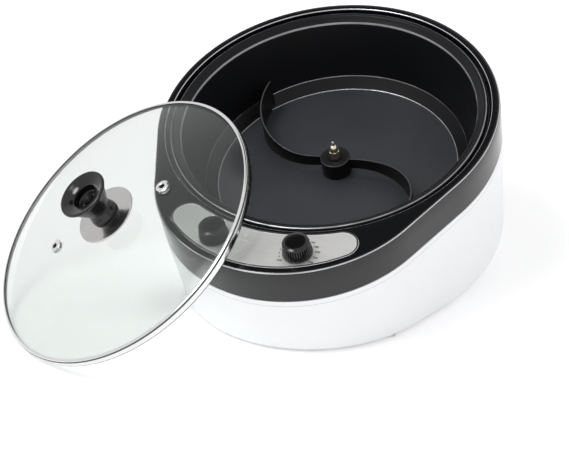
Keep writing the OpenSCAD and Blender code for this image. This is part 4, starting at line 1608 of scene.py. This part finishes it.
@dataclass
class Lid:
    """The loose lid's trim: steel rim, knob plate, flared knob and steam vents."""

    rim_r: float = 126.8
    rim_t: float = 0.8
    rim_h: float = 6.0
    rim_w: float = 2.2
    rim_lift: float = 0.45
    rim_below: tuple[Point, ...] = ((-0.9, 0.0), (-0.35, 0.12), (-0.05, 0.5), (0.0, 1.1))
    rim_above: tuple[Point, ...] = ((0.0, -0.6), (-0.12, 0.15), (-0.5, 0.75), (-1.1, 1.15))
    rim_foot: tuple[Point, ...] = ((0.0, 0.9), (0.25, 0.3), (0.9, 0.0))
    rim_roll: tuple[Point, ...] = ((0.6, 0.12), (0.15, 0.05), (0.0, -0.2))
    corner_w: float = 0.62
    corner_z: Point = (1.0, 5.3)
    inner_line: float = 2.05
    rim_steps: int = 240
    dome_h: float = 21.5
    glass_t: float = 4.0
    glass_edge_z: float = 2.2
    glass_gap: float = 0.1
    lift: float = 0.03
    plate_r: float = 27.0
    plate_t: float = 1.4
    plate_lift: float = 0.02
    plate_round: tuple[Point, ...] = ((-0.2, 0.02), (0.0, 0.25), (-0.05, 0.7))
    plate_bevel: tuple[Point, ...] = ((-0.4, -0.18),)
    plate_edge: float = 1.0
    plate_radii: tuple[float, ...] = (24.0, 20.0, 16.0, 12.0, 8.0, 3.2)
    plate_steps: int = 160
    knob_r: float = 22.0
    knob_h: float = 30.5
    knob_lift: float = 0.05
    knob_steps: int = 144
    knob_bore: float = 2.7
    knob_foot: tuple[Point, ...] = ((-0.3, 0.0), (0.0, 0.3), (0.0, 1.6), (-0.3, 2.6), (-0.9, 4.6))
    knob_joint: tuple[Point, ...] = (
        (0.25, -1.2), (0.05, -0.5), (-0.35, -0.1), (-0.35, 0.1), (-0.05, 0.35),
    )
    knob_dish: tuple[Point, ...] = (
        (18.6, -0.85), (15.0, -2.3), (11.6, -3.4), (11.0, -3.9), (10.7, -4.8),
        (9.4, -9.2), (8.6, -9.8), (5.1, -9.8), (2.7, -9.8),
    )
    foot_r: float = 12.5
    waist_r: float = 10.9
    joint_h: float = 8.6
    flare_up: float = 0.6
    flare_in: float = 1.0
    flare_drop: float = 2.6
    flare_power: float = 1.08
    flare_steps: int = 12
    roll_r: float = 1.3
    roll_drop: float = 1.5
    roll_turns: tuple[int, int, int] = (-30, 106, 15)
    vent_out: float = 55.0
    vent_turns: tuple[float, ...] = (150.0, -30.0)
    vent_steps: int = 64
    vent_sink: float = 5.0
    vent_bore: float = 2.35
    vent_edge: Point = (5.5, 5.7)
    vent_low: tuple[Point, ...] = ((2.0, 0.0), (5.0, 0.0), (5.25, 0.35), (5.0, 0.8), (3.9, 0.9))
    vent_high: tuple[Point, ...] = (
        (3.9, 1.1), (5.7, 1.15), (5.95, 1.45), (5.8, 1.85), (5.2, 2.2),
        (4.2, 2.4), (3.1, 2.4), (2.4, 2.15), (2.0, 1.6),
    )
    glass_r: float = field(init=False)
    ball_r: float = field(init=False)
    ball_z: float = field(init=False)

    def __post_init__(self) -> None:
        """Work out the sphere that the glass dome is part of."""
        self.glass_r = self.rim_r - self.rim_t - self.glass_gap
        self.ball_r = (self.glass_r**2 + self.dome_h**2) / (2 * self.dome_h)
        self.ball_z = self.glass_edge_z + self.dome_h + self.glass_t - self.ball_r

    def on_dome(self, radius: float, lift: float = 0.0) -> float:
        """Return the height of the glass's outer face at a radius, plus lift."""
        return self.ball_z + math.sqrt((self.ball_r + lift) ** 2 - radius**2)

    @staticmethod
    def add(
        bench: Bench, shape: Shape, name: str, slot: str, node: str, *finishes: str
    ) -> None:
        """Place one piece of the trim, which replaces a CAD node."""
        bench.place(shape, name, STANCE.lid(), Body.LID, slot, (node,), finishes)

    def shaded(self, radius: float, height: float, face: bmesh.types.BMFace) -> int:
        """Choose a face's finish on the rim.

        Args:
            radius: the face's distance from the axis.
            height: its height.
            face: the face; not used.

        Returns:
            1 on the rounded corners and the inner edge, which get painted shade as dark lines.
        """
        low, high = self.corner_z
        corner = radius > self.rim_r - self.corner_w and not low < height < high
        return int(corner or radius < self.rim_r - self.rim_t - self.inner_line)

    def add_rim(self, bench: Bench) -> None:
        """Spin the rolled steel rim that grips the glass's edge.

        Args:
            bench: takes the finished piece.
        """
        inner = self.glass_r - self.rim_w
        on_glass = self.on_dome(inner)
        profile = (
            *shifted(self.rim_foot, inner, 0.0),
            *shifted(self.rim_below, self.rim_r, 0.0),
            *shifted(self.rim_above, self.rim_r, self.rim_h),
            *shifted(self.rim_roll, inner, on_glass + self.rim_lift),
            (inner, on_glass + self.lift),
            (self.glass_r, self.on_dome(self.glass_r) + self.lift),
            (self.glass_r + 0.05, self.glass_edge_z - 0.1),
            (inner, self.glass_edge_z - 0.2),
        )
        band = Shape.turned(profile, self.rim_steps).mark(self.shaded)
        # the second finish is painted shade on the rim's corners and inner edge
        finishes = ("steel_polished", "steel_painted_shade")
        self.add(bench, band, "lid_band", "steel_polished", "lid_rim", *finishes)

    def add_plate(self, bench: Bench) -> None:
        """Spin the polished plate under the knob.

        Args:
            bench: takes the finished piece.
        """
        edge, lift, inner = self.plate_r, self.plate_lift, self.plate_r - self.plate_edge
        over = [(radius, self.on_dome(radius, self.plate_t)) for radius in self.plate_radii]
        under = [(radius, self.on_dome(radius) + lift) for radius in reversed(self.plate_radii)]
        profile = [
            *shifted(self.plate_round, edge, self.on_dome(edge)),
            *shifted(self.plate_bevel, edge, self.on_dome(edge, self.plate_t)),
            (inner, self.on_dome(inner, self.plate_t) - lift),
            *over,
            *under,
        ]
        disc = Shape.turned(profile, self.plate_steps)
        self.add(bench, disc, "knob_disc", "steel_polished", "knob_plate", "steel_mirror")

    def add_knob(self, bench: Bench) -> None:
        """Spin the flared knob with its dished top and dark recess.

        Args:
            bench: takes the finished piece.
        """
        foot = self.joint_h + self.flare_up
        wide = self.knob_r - self.flare_in - self.waist_r
        tall = self.knob_h - self.flare_drop - foot
        flare = []
        for step in range(self.flare_steps + 1):
            share = step / self.flare_steps
            flare.append((wide * share**self.flare_power, tall * share))
        roll = []
        for turn in range(*self.roll_turns):
            round_top = polar(self.roll_r, math.radians(turn))
            roll.append((round_top.x, round_top.y))
        profile = [
            (self.knob_bore, 0.0),
            *shifted(self.knob_foot, self.foot_r, 0.0),
            *shifted(self.knob_joint, self.waist_r, self.joint_h),
            *shifted(flare, self.waist_r, foot),
            *shifted(roll, self.knob_r - self.roll_r, self.knob_h - self.roll_drop),
            *shifted(self.knob_dish, 0.0, self.knob_h),
        ]
        seat = Vector((0, 0, self.on_dome(0.0, self.plate_t) + self.knob_lift))
        grip = Shape.turned(profile, self.knob_steps).move(Matrix.Translation(seat))
        self.add(bench, grip, "lid_grip", "knob_black", "lid_knob")

    def hollow(self, radius: float, height: float, face: bmesh.types.BMFace) -> int:
        """Return 1 in an eyelet's bore and on its flange's edge, which get painted shade."""
        out, top = self.vent_edge
        return int(radius < self.vent_bore or (radius > out and height < top))

    def add_vents(self, bench: Bench) -> None:
        """Spin the two steel eyelets and stand them on the glass.

        Args:
            bench: takes the finished piece.
        """
        profile = (*self.vent_low, *shifted(self.vent_high, 0.0, self.glass_t))
        both = Shape()
        for turn in self.vent_turns:
            spot = (
                Matrix.Translation((0, 0, self.ball_z))
                @ Matrix.Rotation(math.radians(turn), 4, "Z")
                @ Matrix.Rotation(math.asin(self.vent_out / self.ball_r), 4, "Y")
                @ Matrix.Translation((0, 0, self.ball_r - self.vent_sink))
            )
            both.join(Shape.turned(profile, self.vent_steps).mark(self.hollow).move(spot))
        # the second finish is painted shade in the bores and on the flanges' edges
        finishes = ("steel_polished", "steel_painted_shade")
        self.add(bench, both, "vent_eyelets", "steel_polished", "vent_grommets", *finishes)

    def build(self, bench: Bench) -> None:
        """Make and place all the trim.

        Args:
            bench: takes the finished pieces.
        """
        self.add_rim(bench)
        self.add_plate(bench)
        self.add_knob(bench)
        self.add_vents(bench)


# ------------------------------------------------------------------ studio


@dataclass(frozen=True)
class SkyPatch:
    """A round, soft-edged patch of the sky that is darker or brighter than the rest."""

    toward: Triple
    spread_deg: Point
    radiance: float


@dataclass
class Studio:
    """A pale floor, a soft white sky and the camera of the reference view."""

    floor_half: float = 4.0
    haze: Colour = (0.84, 0.84, 0.85008)
    patches: tuple[SkyPatch, ...] = (
        SkyPatch((-0.345, 0.355, 0.87), (9.0, 16.0), 0.07),
        SkyPatch((-0.36, -0.40, 0.84), (1.0, 14.0), 12.0),
    )
    eye: Triple = (0.595664, -1.390874, 0.885733)
    eye_x: Triple = (0.91544, 0.40122, -0.03155)
    eye_y: Triple = (-0.17229, 0.46153, 0.87024)
    eye_z: Triple = (0.36371, -0.79122, 0.49162)
    lens: float = 126.54
    sensor_w: float = 36.0
    clip: Point = (0.05, 50.0)

    def lay_floor(self, bench: Bench) -> None:
        """Make the floor.

        Args:
            bench: holds the finishes.
        """
        shape = Shape()
        bmesh.ops.create_grid(shape.bm, x_segments=1, y_segments=1, size=self.floor_half)
        floor = bench.stand("floor", shape.to_mesh("floor"), "floor_paper")

    def light_sky(self) -> None:
        """Light the world: white all round, with the dark and the bright patches laid over."""
        world = bpy.data.worlds.new("studio")
        bpy.context.scene.world = world
        world.use_nodes = True
        sky = Graph(world.node_tree)
        where = sky.wire("ShaderNodeTexCoord", output="Generated")
        colour: Term = (*self.haze, 1.0)
        for patch in self.patches:
            toward = {0: where, 1: Vector(patch.toward).normalized()}
            near = sky.wire("ShaderNodeVectorMath", {"operation": "DOT_PRODUCT"}, toward, "Value")
            inner, outer = (math.cos(math.radians(turn)) for turn in patch.spread_deg)
            edge = sky.wire(
                "ShaderNodeMapRange",
                {"interpolation_type": "SMOOTHSTEP"},
                {"Value": near, "From Min": outer, "From Max": inner},
                "Result",
            )
            colour = sky.mixed(edge, colour, (patch.radiance,) * 3 + (1.0,))
        sky.feed(world.node_tree.nodes["Background"].inputs["Color"], colour)

    def set_camera(self) -> None:
        """Put the camera at the reference view."""
        lens = bpy.data.cameras.new("camera")
        lens.lens = self.lens
        lens.sensor_width = self.sensor_w
        lens.sensor_fit = "HORIZONTAL"
        lens.clip_start, lens.clip_end = self.clip
        holder = bpy.data.objects.new("camera", lens)
        turn = Matrix((self.eye_x, self.eye_y, self.eye_z)).transposed()
        holder.matrix_world = Matrix.Translation(self.eye) @ turn.to_4x4()
        bpy.context.scene.collection.objects.link(holder)
        bpy.context.scene.camera = holder

    def build(self, bench: Bench) -> None:
        """Set the stage, the sky, the camera and the plain view transform.

        Args:
            bench: holds the finishes.
        """
        self.lay_floor(bench)
        self.light_sky()
        self.set_camera()
        bpy.context.scene.view_settings.view_transform = "Standard"


def main() -> None:
    """Build every sub-assembly in order."""
    logging.basicConfig(level=logging.INFO, format="%(name)s %(message)s")
    bench = Bench()
    bench.paint_nodes()
    RingTop().build(bench)
    Panel().build(bench)
    DialPrint().build(bench)
    Pan().build(bench)
    Stirrer().build(bench)
    DialKnob("dial_knob_left", "timer_knob", -1, Body.TIMER).build(bench)
    DialKnob("dial_knob_right", "thermostat_knob", 1, Body.THERMOSTAT).build(bench)
    Lid().build(bench)
    Studio().build(bench)
    LOG.info("%d new pieces", len(bench.made))


if __name__ == "__main__":
    main()
